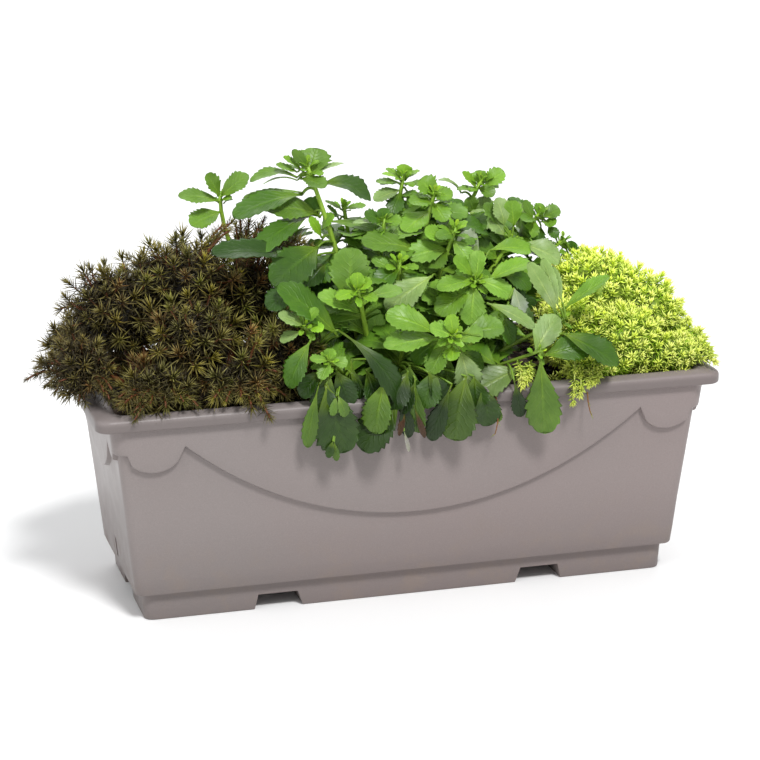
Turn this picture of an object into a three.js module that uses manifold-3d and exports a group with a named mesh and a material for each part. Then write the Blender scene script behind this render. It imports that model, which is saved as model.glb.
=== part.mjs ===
// Planted window box: a moulded plastic trough with three stonecrops growing in it.
// Millimetres, +Z up, +X along the front, +Y to the back. The origin is the centre of the
// footprint, on the surface that the box stands on.
import * as THREE from 'three';
import { mergeVertices } from 'three/addons/utils/BufferGeometryUtils.js';
import Module from 'manifold-3d';

const wasm = await Module();
wasm.setup();

// ---------- driving dimensions ----------

const SEAT_GAP = 0.3;              // clearance between pieces that touch

const RIM = { halfX: 200, halfY: 77.1, corner: 9, under: 128.8, edge: 136.2, crown: 138.2 };
const WALL = { halfX: 176.5, halfY: 60.1, corner: 6, foot: 18, thick: 3, draftX: 0.103, draftY: 0.093 };
const FOOT = { halfX: 170.6, halfY: 54.8, corner: 6, draft: 0.05, floor: 3 };

// Channels under the foot skirt. They part it into pads, so that water can run out.
const CHANNEL = { inX: 69.8, outX: 101.7, topInX: 73.7, topOutX: 99, top: 10 };
const END_CHANNEL = { halfY: 15, topHalfY: 12.5, from: 97, top: 10 };
const DRAIN = { radius: 4, y: 28, endX: 134 };

// Raised valance under the rim. Its lower edge is a row of circular swags.
const VALANCE = {
  proud: 3, cornerZ: 112.5,
  front: { peak: 146, big: { z: 274.5, r: 215.5 }, small: { at: 166, z: 120.8 } },
  end: { peak: 48, big: { z: 143.1, r: 55.1 }, small: { at: 60.5, z: 121.8 } },
};

// Wedge recess low on each end wall.
const RECESS = { halfY: 2.5, low: 24, high: 38, depth: 2.2 };

const SOIL_TOP = 126;
const ROOT_BALL = { height: 78, taper: 0.14, sides: 20, gap: SEAT_GAP };
const ROOT_BALLS = {
  bronze_root_ball: { x: -124, y: 0, radius: 50 },
  green_root_ball: { x: 2, y: 0, radius: 54 },
  lime_root_ball: { x: 128, y: 0, radius: 48 },
};

// Cushion plants: where each shoot's head is, its half-sizes, and where its stem leaves the root ball.
const BRONZE = {
  name: 'bronze_shoot', seed: 0.7, bump: 0.1, stem: { radius: 1.8, sides: 4, steps: 2 },
  heads: [
    { at: [-130, 2, 202], half: [45, 44, 40], root: [-124, 0] },
    { at: [-171, -12, 183], half: [36, 38, 37], root: [-140, -6] },
    { at: [-93, -6, 190], half: [34, 36, 38], root: [-108, -4] },
    { at: [-134, -40, 176], half: [38, 33, 34], root: [-128, -16] },
    { at: [-128, 46, 176], half: [38, 33, 36], root: [-126, 18] },
    { at: [-197, -34, 154], half: [29, 30, 27], root: [-150, -18] },
    { at: [-197, 30, 156], half: [29, 32, 28], root: [-150, 16] },
    { at: [-156, -55, 150], half: [34, 26, 26], root: [-140, -28] },
    { at: [-108, -55, 150], half: [32, 26, 26], root: [-116, -30] },
    { at: [-80, -44, 150], half: [24, 28, 26], root: [-98, -22] },
    { at: [-154, 66, 152], half: [34, 25, 26], root: [-140, 28] },
    { at: [-98, 62, 154], half: [34, 27, 28], root: [-110, 28] },
  ],
};
const LIME = {
  name: 'lime_shoot', seed: 2.1, bump: 0.06, stem: { radius: 1.2, sides: 4, steps: 2 },
  heads: [
    { at: [140, 4, 170], half: [34, 36, 33], root: [130, 0] },
    { at: [178, -10, 158], half: [30, 32, 29], root: [146, -6] },
    { at: [112, -34, 158], half: [26, 26, 26], root: [116, -14] },
    { at: [144, -46, 152], half: [28, 27, 27], root: [134, -20] },
    { at: [142, 46, 154], half: [32, 28, 28], root: [130, 20] },
    { at: [204, -30, 144], half: [20, 28, 20], root: [156, -16] },
    { at: [203, 24, 144], half: [21, 30, 20], root: [156, 14] },
    { at: [176, -54, 144], half: [28, 20, 18], root: [148, -28] },
    { at: [122, -62, 141], half: [28, 15, 15], root: [122, -34] },
    { at: [178, 62, 144], half: [28, 20, 19], root: [148, 26] },
  ],
};

// Upright shoots of the green stonecrop: head, and root on the root ball's top.
const GREEN = {
  name: 'green_shoot', clear: 0.6, stem: { radius: 2, sides: 5, steps: 4 },
  leaf: { length: 40, width: 20, base: 3, thick: 1.5, wideAt: 0.64, from: 1.2 },
  heads: [
    { at: [-50, 6, 268], root: [-14, 4] },
    { at: [-99, 36, 245], root: [-36, 24] },
    { at: [20, 30, 253], root: [4, 28] },
    { at: [33, 4, 246], root: [12, 8] },
    { at: [75, 36, 246], root: [26, 26] },
    { at: [114, 30, 223], root: [38, 18] },
    { at: [134, 40, 202], root: [48, 12] },
    { at: [-22, 22, 237], root: [-10, 18] },
    { at: [-3, -4, 233], root: [0, 2] },
    { at: [-33, -52, 200], root: [-16, -24] },
    { at: [48, -36, 197], root: [22, -14] },
    { at: [-71, -66, 184], root: [-36, -24] },
    { at: [-58, -76, 164], root: [-30, -36] },
    { at: [20, -76, 174], root: [12, -40] },
    { at: [-7, -66, 172], root: [-4, -34] },
    { at: [76, -78, 160], root: [34, -36] },
    { at: [99, -60, 175], root: [42, -26] },
    { at: [62, -52, 179], root: [30, -24] },
    { at: [42, -12, 226], root: [18, -4] },
    { at: [85, 4, 212], root: [36, 2] },
    { at: [1, -26, 210], root: [2, -14] },
    { at: [-52, 62, 206], root: [-24, 40] },
    { at: [22, 70, 204], root: [8, 46] },
    { at: [84, 64, 190], root: [34, 36] },
  ],
};

const PLASTIC = new THREE.MeshStandardMaterial({ color: 0x9c928f, roughness: 0.45, metalness: 0 });
const COMPOST = new THREE.MeshStandardMaterial({ color: 0x2c211a, roughness: 1, metalness: 0 });
const ROOTS = new THREE.MeshStandardMaterial({ color: 0x4a382a, roughness: 1, metalness: 0 });
const BRONZE_LEAF = new THREE.MeshStandardMaterial({ color: 0x54452f, roughness: 0.6, metalness: 0 });
const LIME_LEAF = new THREE.MeshStandardMaterial({ color: 0xb6cf4a, roughness: 0.6, metalness: 0 });
const GREEN_LEAF = new THREE.MeshStandardMaterial({ color: 0x548a35, roughness: 0.5, metalness: 0 });

// ---------- solids ----------

// A manifold solid of a closed three.js geometry.
function solid(geometry) {
  const bare = geometry.clone();
  for (const key of Object.keys(bare.attributes)) if (key !== 'position') bare.deleteAttribute(key);
  const welded = mergeVertices(bare, 1e-4);
  const corners = [];
  for (let i = 0; i < welded.index.count; i += 3) {
    const [a, b, c] = welded.index.array.slice(i, i + 3);
    if (a !== b && b !== c && c !== a) corners.push(a, b, c);   // welding leaves some with no area
  }
  return new wasm.Manifold(new wasm.Mesh({
    numProp: 3,
    vertProperties: new Float32Array(welded.attributes.position.array),
    triVerts: new Uint32Array(corners),
  }));
}

// A named mesh of a manifold solid.
function mesh(name, shape, material) {
  const { vertProperties, triVerts, numProp } = shape.getMesh();
  const points = new Float32Array((vertProperties.length / numProp) * 3);
  for (let i = 0; i < points.length / 3; i++) {
    points.set(vertProperties.subarray(i * numProp, i * numProp + 3), i * 3);
  }
  const geometry = new THREE.BufferGeometry();
  geometry.setAttribute('position', new THREE.BufferAttribute(points, 3));
  geometry.setIndex(new THREE.BufferAttribute(new Uint32Array(triVerts), 1));
  const node = new THREE.Mesh(geometry, material);
  node.name = name;
  return node;
}

// A level loop round a rectangle with rounded corners.
function roundedLoop(z, halfX, halfY, corner, steps = 4) {
  const loop = [];
  const centres = [[1, 1], [-1, 1], [-1, -1], [1, -1]];
  centres.forEach(([sx, sy], quarter) => {
    for (let i = 0; i <= steps; i++) {
      const angle = (quarter + i / steps) * Math.PI / 2;
      loop.push(new THREE.Vector3(sx * (halfX - corner) + corner * Math.cos(angle),
        sy * (halfY - corner) + corner * Math.sin(angle), z));
    }
  });
  return loop;
}

// A closed skin over level loops that have as many points each, capped at both ends.
function loft(loops) {
  const n = loops[0].length;
  const points = loops.flat().flatMap((p) => [p.x, p.y, p.z]);
  const index = [];
  for (let row = 0; row < loops.length - 1; row++) {
    for (let i = 0; i < n; i++) {
      const a = row * n + i;
      const b = row * n + (i + 1) % n;
      index.push(a, b, b + n, a, b + n, a + n);
    }
  }
  const top = (loops.length - 1) * n;
  for (let i = 1; i < n - 1; i++) {
    index.push(0, i + 1, i);
    index.push(top, top + i, top + i + 1);
  }
  const geometry = new THREE.BufferGeometry();
  geometry.setAttribute('position', new THREE.Float32BufferAttribute(points, 3));
  geometry.setIndex(index);
  return geometry;
}

const loftSolid = (rows, grow = 0) => solid(loft(rows.map(([z, x, y, corner]) =>
  roundedLoop(z, x + grow, y + grow, Math.max(corner + grow, 0.5)))));

// A prism of a shape drawn in X and Z, running along Y from y0 to y1.
function prismAlongY(shape, y0, y1) {
  const geometry = new THREE.ExtrudeGeometry(shape, { depth: y1 - y0, bevelEnabled: false });
  geometry.rotateX(Math.PI / 2);
  geometry.translate(0, y1, 0);
  return solid(geometry);
}

// A prism of a shape drawn in Y and Z, running along X from x0 to x1.
function prismAlongX(shape, x0, x1) {
  const geometry = new THREE.ExtrudeGeometry(shape, { depth: x1 - x0, bevelEnabled: false });
  geometry.rotateX(Math.PI / 2);
  geometry.rotateZ(Math.PI / 2);
  geometry.translate(x0, 0, 0);
  return solid(geometry);
}

function polygon(corners) {
  return new THREE.Shape(corners.map(([x, y]) => new THREE.Vector2(x, y)));
}

const wallX = (z) => WALL.halfX + WALL.draftX * (z - WALL.foot);
const wallY = (z) => WALL.halfY + WALL.draftY * (z - WALL.foot);
const footX = (z) => FOOT.halfX + FOOT.draft * z;
const footY = (z) => FOOT.halfY + FOOT.draft * z;

// ---------- the box ----------

// Outside of the trough, from the foot up to the top of the rolled rim.
const OUTSIDE = [
  [0, footX(0), footY(0), FOOT.corner],
  [WALL.foot, footX(WALL.foot), footY(WALL.foot), FOOT.corner],
  [WALL.foot, WALL.halfX - 0.6, WALL.halfY - 0.6, WALL.corner],
  [WALL.foot + 0.8, wallX(WALL.foot + 0.8), wallY(WALL.foot + 0.8), WALL.corner],
  [RIM.under, wallX(RIM.under), wallY(RIM.under), WALL.corner + 2],
  [RIM.under, RIM.halfX - 0.8, RIM.halfY - 0.8, RIM.corner],
  [RIM.under + 0.8, RIM.halfX, RIM.halfY, RIM.corner],
  [RIM.edge - 0.8, RIM.halfX, RIM.halfY, RIM.corner],
  [RIM.edge + 0.4, RIM.halfX - 1, RIM.halfY - 1, RIM.corner - 1],
  [RIM.crown - 0.5, RIM.halfX - 4.5, RIM.halfY - 3.6, RIM.corner - 3],
  [RIM.crown, RIM.halfX - 8, RIM.halfY - 6, RIM.corner - 4],
];

// Inside of the trough. It is open at the top, and its lip is rounded over.
const insideX = (z) => wallX(z) - WALL.thick;
const insideY = (z) => wallY(z) - WALL.thick;
const SHELF = WALL.foot + WALL.thick;
const INSIDE = [
  [FOOT.floor, footX(FOOT.floor) - WALL.thick, footY(FOOT.floor) - WALL.thick, 4],
  [SHELF, footX(SHELF) - WALL.thick, footY(SHELF) - WALL.thick, 4],
  [SHELF, insideX(SHELF), insideY(SHELF), 4],
  [RIM.edge - 1.5, insideX(RIM.edge), insideY(RIM.edge), 6],
];
const LIP = [
  [RIM.edge - 1.5, insideX(RIM.edge), insideY(RIM.edge), 6],
  [RIM.crown - 0.6, insideX(RIM.edge) + 1, insideY(RIM.edge) + 1, 7],
  [RIM.crown + 0.6, insideX(RIM.edge) + 3.4, insideY(RIM.edge) + 3, 9],
  [RIM.crown + 6, insideX(RIM.edge) + 3.4, insideY(RIM.edge) + 3, 9],
];

// The channels' outline, thickened by the floor's thickness where it is seen from inside.
function channels(grow) {
  const { inX, outX, topInX, topOutX, top } = CHANNEL;
  const base = -1;
  const parts = [];
  for (const side of [1, -1]) {
    const across = polygon([[inX - grow, base], [outX + grow, base], [topOutX + grow, top + grow], [topInX - grow, top + grow]]
      .map(([x, z]) => [side * x, z]));
    parts.push(prismAlongY(across, -RIM.halfY, RIM.halfY));
    const along = polygon([[-END_CHANNEL.halfY - grow, base], [END_CHANNEL.halfY + grow, base],
      [END_CHANNEL.topHalfY + grow, END_CHANNEL.top + grow], [-END_CHANNEL.topHalfY - grow, END_CHANNEL.top + grow]]);
    const [x0, x1] = side > 0 ? [END_CHANNEL.from, RIM.halfX] : [-RIM.halfX, -END_CHANNEL.from];
    parts.push(prismAlongX(along, x0, x1));
  }
  return parts.reduce((all, part) => all.add(part));
}

// The region above one face's row of swags.
function swags({ peak, big, small }, reach) {
  const peakZ = big.z - Math.sqrt(big.r ** 2 - peak ** 2);
  const r = Math.hypot(small.at - peak, small.z - peakZ);
  const corner = small.at + Math.sqrt(r ** 2 - (small.z - VALANCE.cornerZ) ** 2);
  const turn = (x, z, arc, at) => Math.atan2(z - arc.z, x - at);
  const shape = new THREE.Shape();
  shape.moveTo(-reach, RIM.under + 1);
  shape.lineTo(-reach, VALANCE.cornerZ);
  shape.lineTo(-corner, VALANCE.cornerZ);
  shape.absarc(-small.at, small.z, r, turn(-corner, VALANCE.cornerZ, small, -small.at), turn(-peak, peakZ, small, -small.at), false);
  shape.absarc(0, big.z, big.r, turn(-peak, peakZ, big, 0), turn(peak, peakZ, big, 0), false);
  shape.absarc(small.at, small.z, r, turn(peak, peakZ, small, small.at), turn(corner, VALANCE.cornerZ, small, small.at), false);
  shape.lineTo(reach, VALANCE.cornerZ);
  shape.lineTo(reach, RIM.under + 1);
  return distinct(shape.getPoints(12));
}

// A shape through a row of points, less those that repeat the one before.
function distinct(points) {
  return new THREE.Shape(points.filter((p, i) => p.distanceTo(points[(i || points.length) - 1]) > 0.01));
}

function valance() {
  const low = 50;
  const skin = loftSolid([
    [low, wallX(low), wallY(low), WALL.corner + 1],
    [RIM.under + 0.4, wallX(RIM.under), wallY(RIM.under), WALL.corner + 2],
  ], VALANCE.proud);
  const face = swags(VALANCE.front, RIM.halfX + 10);
  const end = swags(VALANCE.end, RIM.halfY + 10);
  const band = prismAlongY(face, -RIM.halfY - 10, -insideY(low) + 8)
    .add(prismAlongY(face, insideY(low) - 8, RIM.halfY + 10));
  const ends = prismAlongX(end, -RIM.halfX - 10, -insideX(low) + 8)
    .add(prismAlongX(end, insideX(low) - 8, RIM.halfX + 10));
  // Each face follows its own outline. Where two faces meet, in a corner post, both hold.
  const atEnds = outsideOf((z) => wallX(z) - 1, () => 2 * RIM.halfY);
  const atFaces = outsideOf(() => 2 * RIM.halfX, (z) => wallY(z) - 1);
  return skin.intersect(band.subtract(atEnds).add(ends.subtract(atFaces)).add(band.intersect(ends)));
}

// All that lies outside a pair of sloping walls.
function outsideOf(halfX, halfY) {
  const [low, high] = [20, 160];
  return boxSolid([0, 0, 90], [2.5 * RIM.halfX, 3 * RIM.halfY, 120])
    .subtract(loftSolid([low, high].map((z) => [z, halfX(z), halfY(z), 0.5])));
}

function boxSolid(centre, size) {
  const geometry = new THREE.BoxGeometry(...size);
  geometry.translate(...centre);
  return solid(geometry);
}

function recesses() {
  const { halfY, low, high, depth } = RECESS;
  return [-1, 1].map((side) => prismAlongY(polygon([
    [side * (wallX(high) + 0.01), high], [side * (wallX(high) + 6), high + 2], [side * (wallX(low) + 6), low],
    [side * (wallX(low) - depth), low]]), -halfY, halfY)).reduce((all, part) => all.add(part));
}

function drains() {
  const { radius, y, endX } = DRAIN;
  const middle = (CHANNEL.inX + CHANNEL.outX) / 2;
  const places = [-1, 1].flatMap((side) => [[side * middle, y], [side * middle, -y], [side * endX, 0]]);
  return places.map(([x, py]) => {
    const geometry = new THREE.CylinderGeometry(radius, radius, 20, 12);
    geometry.rotateX(Math.PI / 2);
    geometry.translate(x, py, 12);
    return solid(geometry);
  }).reduce((all, part) => all.add(part));
}

const cavity = loftSolid(INSIDE).add(loftSolid(LIP));
const windowBox = loftSolid(OUTSIDE).add(valance())
  .subtract(channels(0))
  .subtract(recesses())
  .subtract(cavity.subtract(channels(WALL.thick)))
  .subtract(drains());

// ---------- soil and root balls ----------

function rootBall({ x, y, radius }, grow = 0) {
  const { height, taper, sides } = ROOT_BALL;
  const foot = radius - taper * height;
  const geometry = new THREE.CylinderGeometry(radius + grow, foot + grow, height + 2 * grow, sides);
  geometry.rotateX(Math.PI / 2);
  geometry.translate(x, y, SOIL_TOP - height / 2);
  return solid(geometry);
}

const soilRows = INSIDE.map(([z, x, y, corner]) => [z, x, y, corner]);
soilRows[0][0] += SEAT_GAP;
soilRows[1][0] += SEAT_GAP;
soilRows[2][0] += SEAT_GAP;
soilRows[3] = [SOIL_TOP, insideX(SOIL_TOP), insideY(SOIL_TOP), 6];
const soil = Object.values(ROOT_BALLS).reduce((left, ball) => left.subtract(rootBall(ball, SEAT_GAP)),
  loftSolid(soilRows, -SEAT_GAP).subtract(channels(WALL.thick + SEAT_GAP)));

// Everything that a plant has to stay clear of, with the seat gap on: the soil, the rim, and all
// that is under the rim, because no plant tucks in there.
const filled = loftSolid([
  [0, RIM.halfX, RIM.halfY, RIM.corner],
  [RIM.edge + 1, RIM.halfX, RIM.halfY, RIM.corner],
  [RIM.crown + SEAT_GAP, RIM.halfX - 4, RIM.halfY - 3.2, RIM.corner - 3],
], SEAT_GAP)
  .subtract(loftSolid([
    [SOIL_TOP + SEAT_GAP, insideX(SOIL_TOP) - SEAT_GAP, insideY(SOIL_TOP) - SEAT_GAP, 6],
    [RIM.edge - 1.5, insideX(RIM.edge) - SEAT_GAP, insideY(RIM.edge) - SEAT_GAP, 6],
    [RIM.crown + 6, insideX(RIM.edge) + 3, insideY(RIM.edge) + 3, 9],
  ]));

// ---------- plants ----------

// A stem: a round tube that leaves the root ball upright and bends over to its head.
function stem(root, head, { radius, sides, steps }) {
  const foot = new THREE.Vector3(root[0], root[1], SOIL_TOP + SEAT_GAP);
  const top = new THREE.Vector3(...head);
  const knee = new THREE.Vector3(root[0] + 0.25 * (head[0] - root[0]), root[1] + 0.25 * (head[1] - root[1]),
    foot.z + 0.6 * (top.z - foot.z));
  const path = new THREE.QuadraticBezierCurve3(foot, knee, top);
  const ring = new THREE.Shape(Array.from({ length: sides }, (_, i) => new THREE.Vector2(
    radius * Math.cos(2 * Math.PI * i / sides), radius * Math.sin(2 * Math.PI * i / sides))));
  const geometry = new THREE.ExtrudeGeometry(ring, { steps, extrudePath: path, bevelEnabled: false });
  return { path, body: solid(geometry) };
}

// The room that a stem takes, with the seat gap all round.
function sleeve(root, head, size) {
  return stem(root, head, { ...size, radius: size.radius + SEAT_GAP / Math.cos(Math.PI / size.sides) }).body;
}

// The part of a stem that is above the soil, so that its cut foot is level.
function planted(shape) {
  return shape.subtract(filled);
}

// A cushion of short leaves: a ball with shallow bumps.
function cushion({ at, half }, seed, bump, grow = 0) {
  const geometry = new THREE.IcosahedronGeometry(1, 1);
  const place = geometry.attributes.position;
  const p = new THREE.Vector3();
  for (let i = 0; i < place.count; i++) {
    p.fromBufferAttribute(place, i);
    const wave = Math.sin(9.1 * p.x + seed) * Math.cos(8.3 * p.y - seed) * Math.cos(7.7 * p.z + 2 * seed);
    p.multiplyScalar(1 + bump * wave);
    place.setXYZ(i, at[0] + p.x * (half[0] + grow), at[1] + p.y * (half[1] + grow), at[2] + p.z * (half[2] + grow));
  }
  return solid(geometry);
}

// All shoots of one cushion plant. Each is its stem and its cushion, less its neighbours.
function cushionPlant({ name, heads, seed, bump, stem: size }, material, taken, guests) {
  const group = new THREE.Group();
  const stems = heads.map(({ at, root }) => planted(stem(root, at, size).body));
  const sleeves = heads.map(({ at, root }) => sleeve(root, at, size));
  heads.forEach((head, i) => {
    let body = cushion(head, seed + i, bump).subtract(filled);
    for (let j = 0; j < i; j++) body = body.subtract(cushion(heads[j], seed + j, bump, SEAT_GAP));
    for (const other of [...sleeves.filter((_, j) => j !== i), ...guests]) body = body.subtract(other);
    const shoot = body.add(stems[i]);
    taken.push(shoot);
    group.add(mesh(`${name}_${String(i + 1).padStart(2, '0')}`, shoot, material));
  });
  return group;
}

// A spoon-shaped leaf blade that starts at the origin and lies along +X, facing +Z.
function blade({ length, width, base, thick, wideAt, from }, scale, grow) {
  const half = (width * scale) / 2 + grow;
  const end = length * scale + grow;
  const shape = new THREE.Shape();
  shape.moveTo(from, -base / 2 - grow);
  shape.lineTo(wideAt * end, -half);
  shape.lineTo(0.93 * end, -0.6 * half);
  shape.lineTo(end, 0);
  shape.lineTo(0.93 * end, 0.6 * half);
  shape.lineTo(wideAt * end, half);
  shape.lineTo(from, base / 2 + grow);
  const depth = thick + 2 * grow;
  const geometry = new THREE.ExtrudeGeometry(shape, { depth, bevelEnabled: false });
  geometry.translate(0, 0, -depth / 2);
  return geometry;
}

// A blade set on a stem: at its place, turned round the upright axis and tilted up from level.
function setBlade(leaf, at, turn, tilt, scale, grow) {
  const geometry = blade(leaf, scale, grow);
  geometry.rotateY(-tilt);
  geometry.rotateZ(turn);
  geometry.translate(at.x, at.y, at.z);
  return solid(geometry);
}

const clears = (shape, others) => others.every((other) => shape.intersect(other).isEmpty());

// All upright shoots of the green plant. A blade goes on where it clears all that stands already;
// if it doesn't, it is turned round its stem in small steps, and left out after a few.
function uprightPlant({ name, heads, stem: size, leaf, clear }, material, taken) {
  const group = new THREE.Group();
  const stems = heads.map(({ at, root }) => stem(root, at, size));
  const shoots = stems.map(({ body }) => planted(body));
  const whorls = [
    { along: 0.98, count: 3, tilt: 0.8, scale: 0.85 },
    { along: 0.86, count: 2, tilt: 0.2, scale: 1.15 },
    { along: 0.66, count: 1, tilt: 0.05, scale: 1.15 },
  ];
  const golden = Math.PI * (3 - Math.sqrt(5));
  stems.forEach(({ path }, i) => {
    whorls.forEach(({ along, count, tilt, scale }, whorl) => {
      for (let k = 0; k < count; k++) {
        const at = path.getPoint(along - 0.02 * k);
        const others = shoots.filter((_, j) => j !== i).concat(taken, [filled]);
        const start = (i + 1) * golden + whorl * 0.7 + (2 * Math.PI * k) / count;
        for (const nudge of [0, 0.25, -0.25, 0.5, -0.5]) {
          if (!clears(setBlade(leaf, at, start + nudge, tilt, scale, clear), others)) continue;
          shoots[i] = shoots[i].add(setBlade(leaf, at, start + nudge, tilt, scale, 0));
          break;
        }
      }
    });
  });
  shoots.forEach((shoot, i) => {
    taken.push(shoot);
    group.add(mesh(`${name}_${String(i + 1).padStart(2, '0')}`, shoot, material));
  });
  return group;
}

// ---------- assembly ----------

const planter = new THREE.Group();
planter.name = 'planted_window_box';
planter.add(mesh('window_box', windowBox, PLASTIC));
planter.add(mesh('potting_soil', soil, COMPOST));
for (const [name, ball] of Object.entries(ROOT_BALLS)) planter.add(mesh(name, rootBall(ball), ROOTS));

const taken = [];
const greenStems = GREEN.heads.map(({ at, root }) => sleeve(root, at, GREEN.stem));
planter.add(cushionPlant(BRONZE, BRONZE_LEAF, taken, greenStems));
planter.add(cushionPlant(LIME, LIME_LEAF, taken, greenStems));
planter.add(uprightPlant(GREEN, GREEN_LEAF, taken));

export default planter;
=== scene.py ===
"""A planted window box: a moulded plastic trough with a bronze cushion stonecrop on the left, a
toothed-leaved green stonecrop in the middle and a lime cushion stonecrop on the right.
Lengths are in millimetres until a mesh is made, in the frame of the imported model:
+Z up, +X along the front, +Y to the back, origin at the centre of the footprint."""
import collections
import itertools
import math

import bmesh
import bpy
import numpy as np
from mathutils import Euler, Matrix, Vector, noise


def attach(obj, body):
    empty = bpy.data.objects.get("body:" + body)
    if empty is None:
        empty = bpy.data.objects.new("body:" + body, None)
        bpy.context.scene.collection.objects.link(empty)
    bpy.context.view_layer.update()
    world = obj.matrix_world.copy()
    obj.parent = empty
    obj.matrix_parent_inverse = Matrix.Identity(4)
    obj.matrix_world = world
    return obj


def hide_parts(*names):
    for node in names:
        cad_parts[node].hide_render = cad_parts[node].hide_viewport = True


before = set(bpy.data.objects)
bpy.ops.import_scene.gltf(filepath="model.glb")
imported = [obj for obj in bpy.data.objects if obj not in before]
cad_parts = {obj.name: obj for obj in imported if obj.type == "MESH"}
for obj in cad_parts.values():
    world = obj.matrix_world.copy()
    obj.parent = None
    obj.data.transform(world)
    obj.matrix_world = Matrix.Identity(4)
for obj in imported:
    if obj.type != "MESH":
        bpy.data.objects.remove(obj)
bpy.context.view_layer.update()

MM = 0.001
GOLDEN = math.radians(137.508)

# ---------- the photograph's camera ----------

PHOTO = {"size": 760, "focal": 2400.0}          # pixels
EYE = np.array([-413.8, -1421.0, 553.9])
YAW, PITCH = 0.280610, 0.281510                 # turned to +X, and down, in radians
FORWARD = np.array([math.sin(YAW) * math.cos(PITCH), math.cos(YAW) * math.cos(PITCH), -math.sin(PITCH)])
RIGHT = np.array([math.cos(YAW), -math.sin(YAW), 0.0])
UPWARD = np.cross(RIGHT, FORWARD)
Z = np.array([0.0, 0.0, 1.0])


def unit(v):
    v = np.asarray(v, float)
    return v / np.maximum(np.linalg.norm(v, axis=-1, keepdims=True), 1e-9)


def sight(pixel):
    """The direction of a pixel's line of sight."""
    half, focal = PHOTO["size"] / 2, PHOTO["focal"]
    return unit(FORWARD + RIGHT * (pixel[0] - half) / focal - UPWARD * (pixel[1] - half) / focal)


def pixel_of(point):
    """The pixel where a point is seen."""
    v = np.asarray(point) - EYE
    depth, half, focal = v @ FORWARD, PHOTO["size"] / 2, PHOTO["focal"]
    return np.array([half + focal * (v @ RIGHT) / depth, half - focal * (v @ UPWARD) / depth])


def at_depth(pixel, y):
    """The point of a pixel's line of sight that lies at y, front to back."""
    direction = sight(pixel)
    return EYE + direction * (y - EYE[1]) / direction[1]


def make_camera():
    data = bpy.data.cameras.new("photo_camera")
    data.sensor_width = 36.0
    data.lens = PHOTO["focal"] / PHOTO["size"] * data.sensor_width
    data.clip_start, data.clip_end = 0.05, 60.0
    camera = bpy.data.objects.new("photo_camera", data)
    camera.location = EYE * MM
    camera.rotation_euler = Euler((math.pi / 2 - PITCH, 0.0, -YAW))
    bpy.context.collection.objects.link(camera)
    bpy.context.scene.camera = camera


# ---------- light and floor ----------

# Where each sun's light comes from, its strength, and its spread in degrees.
SUNS = {
    "key": ((0.14, -1.05, 1.45), 2.5, 12.0),
    "fill": ((-1.2, -0.5, 0.9), 0.75, 40.0),
    "rear": ((0.2, 1.2, 1.0), 0.95, 50.0),
}
SKY = {"colour": (0.97, 0.985, 1.0, 1.0), "strength": 0.50}
WHITE = (1.0, 1.0, 1.0, 1.0)
FLOOR_HALF = 14.0                               # metres


def sun(name, towards, strength, spread):
    """Soft light that falls evenly over the whole floor. towards is where it comes from."""
    data = bpy.data.lights.new(name, "SUN")
    data.energy, data.angle = strength, math.radians(spread)
    lamp = bpy.data.objects.new(name, data)
    lamp.rotation_euler = Vector(towards).to_track_quat("Z", "Y").to_euler()
    bpy.context.collection.objects.link(lamp)


def make_world():
    """Soft light from a pale sky, and plain white behind the object for the camera."""
    world = bpy.data.worlds.new("studio")
    bpy.context.scene.world = world
    world.use_nodes = True
    tree = world.node_tree
    sky, out = tree.nodes["Background"], tree.nodes["World Output"]
    sky.inputs["Color"].default_value = SKY["colour"]
    sky.inputs["Strength"].default_value = SKY["strength"]
    white = tree.nodes.new("ShaderNodeBackground")
    white.inputs["Color"].default_value = WHITE
    which, mix = tree.nodes.new("ShaderNodeLightPath"), tree.nodes.new("ShaderNodeMixShader")
    for start, end in ((which.outputs["Is Camera Ray"], mix.inputs[0]), (sky.outputs[0], mix.inputs[1]),
                       (white.outputs[0], mix.inputs[2]), (mix.outputs[0], out.inputs["Surface"])):
        tree.links.new(start, end)


def make_floor():
    far = FLOOR_HALF
    mesh = bpy.data.meshes.new("floor")
    mesh.from_pydata([(-far, -far, 0), (far, -far, 0), (far, far, 0), (-far, far, 0)], [], [(0, 1, 2, 3)])
    floor = bpy.data.objects.new("floor", mesh)
    bpy.context.collection.objects.link(floor)
    mesh.materials.append(floor_material())


def make_studio():
    bpy.context.scene.view_settings.view_transform = "Standard"
    make_world()
    for name, (towards, strength, spread) in SUNS.items():
        sun(name, towards, strength, spread)
    make_floor()


# ---------- materials ----------

def linear(*levels):
    """An sRGB colour from 0 to 255 as linear numbers."""
    shares = [level / 255 for level in levels]
    return tuple(c / 12.92 if c <= 0.04045 else ((c + 0.055) / 1.055) ** 2.4 for c in shares)


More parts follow.
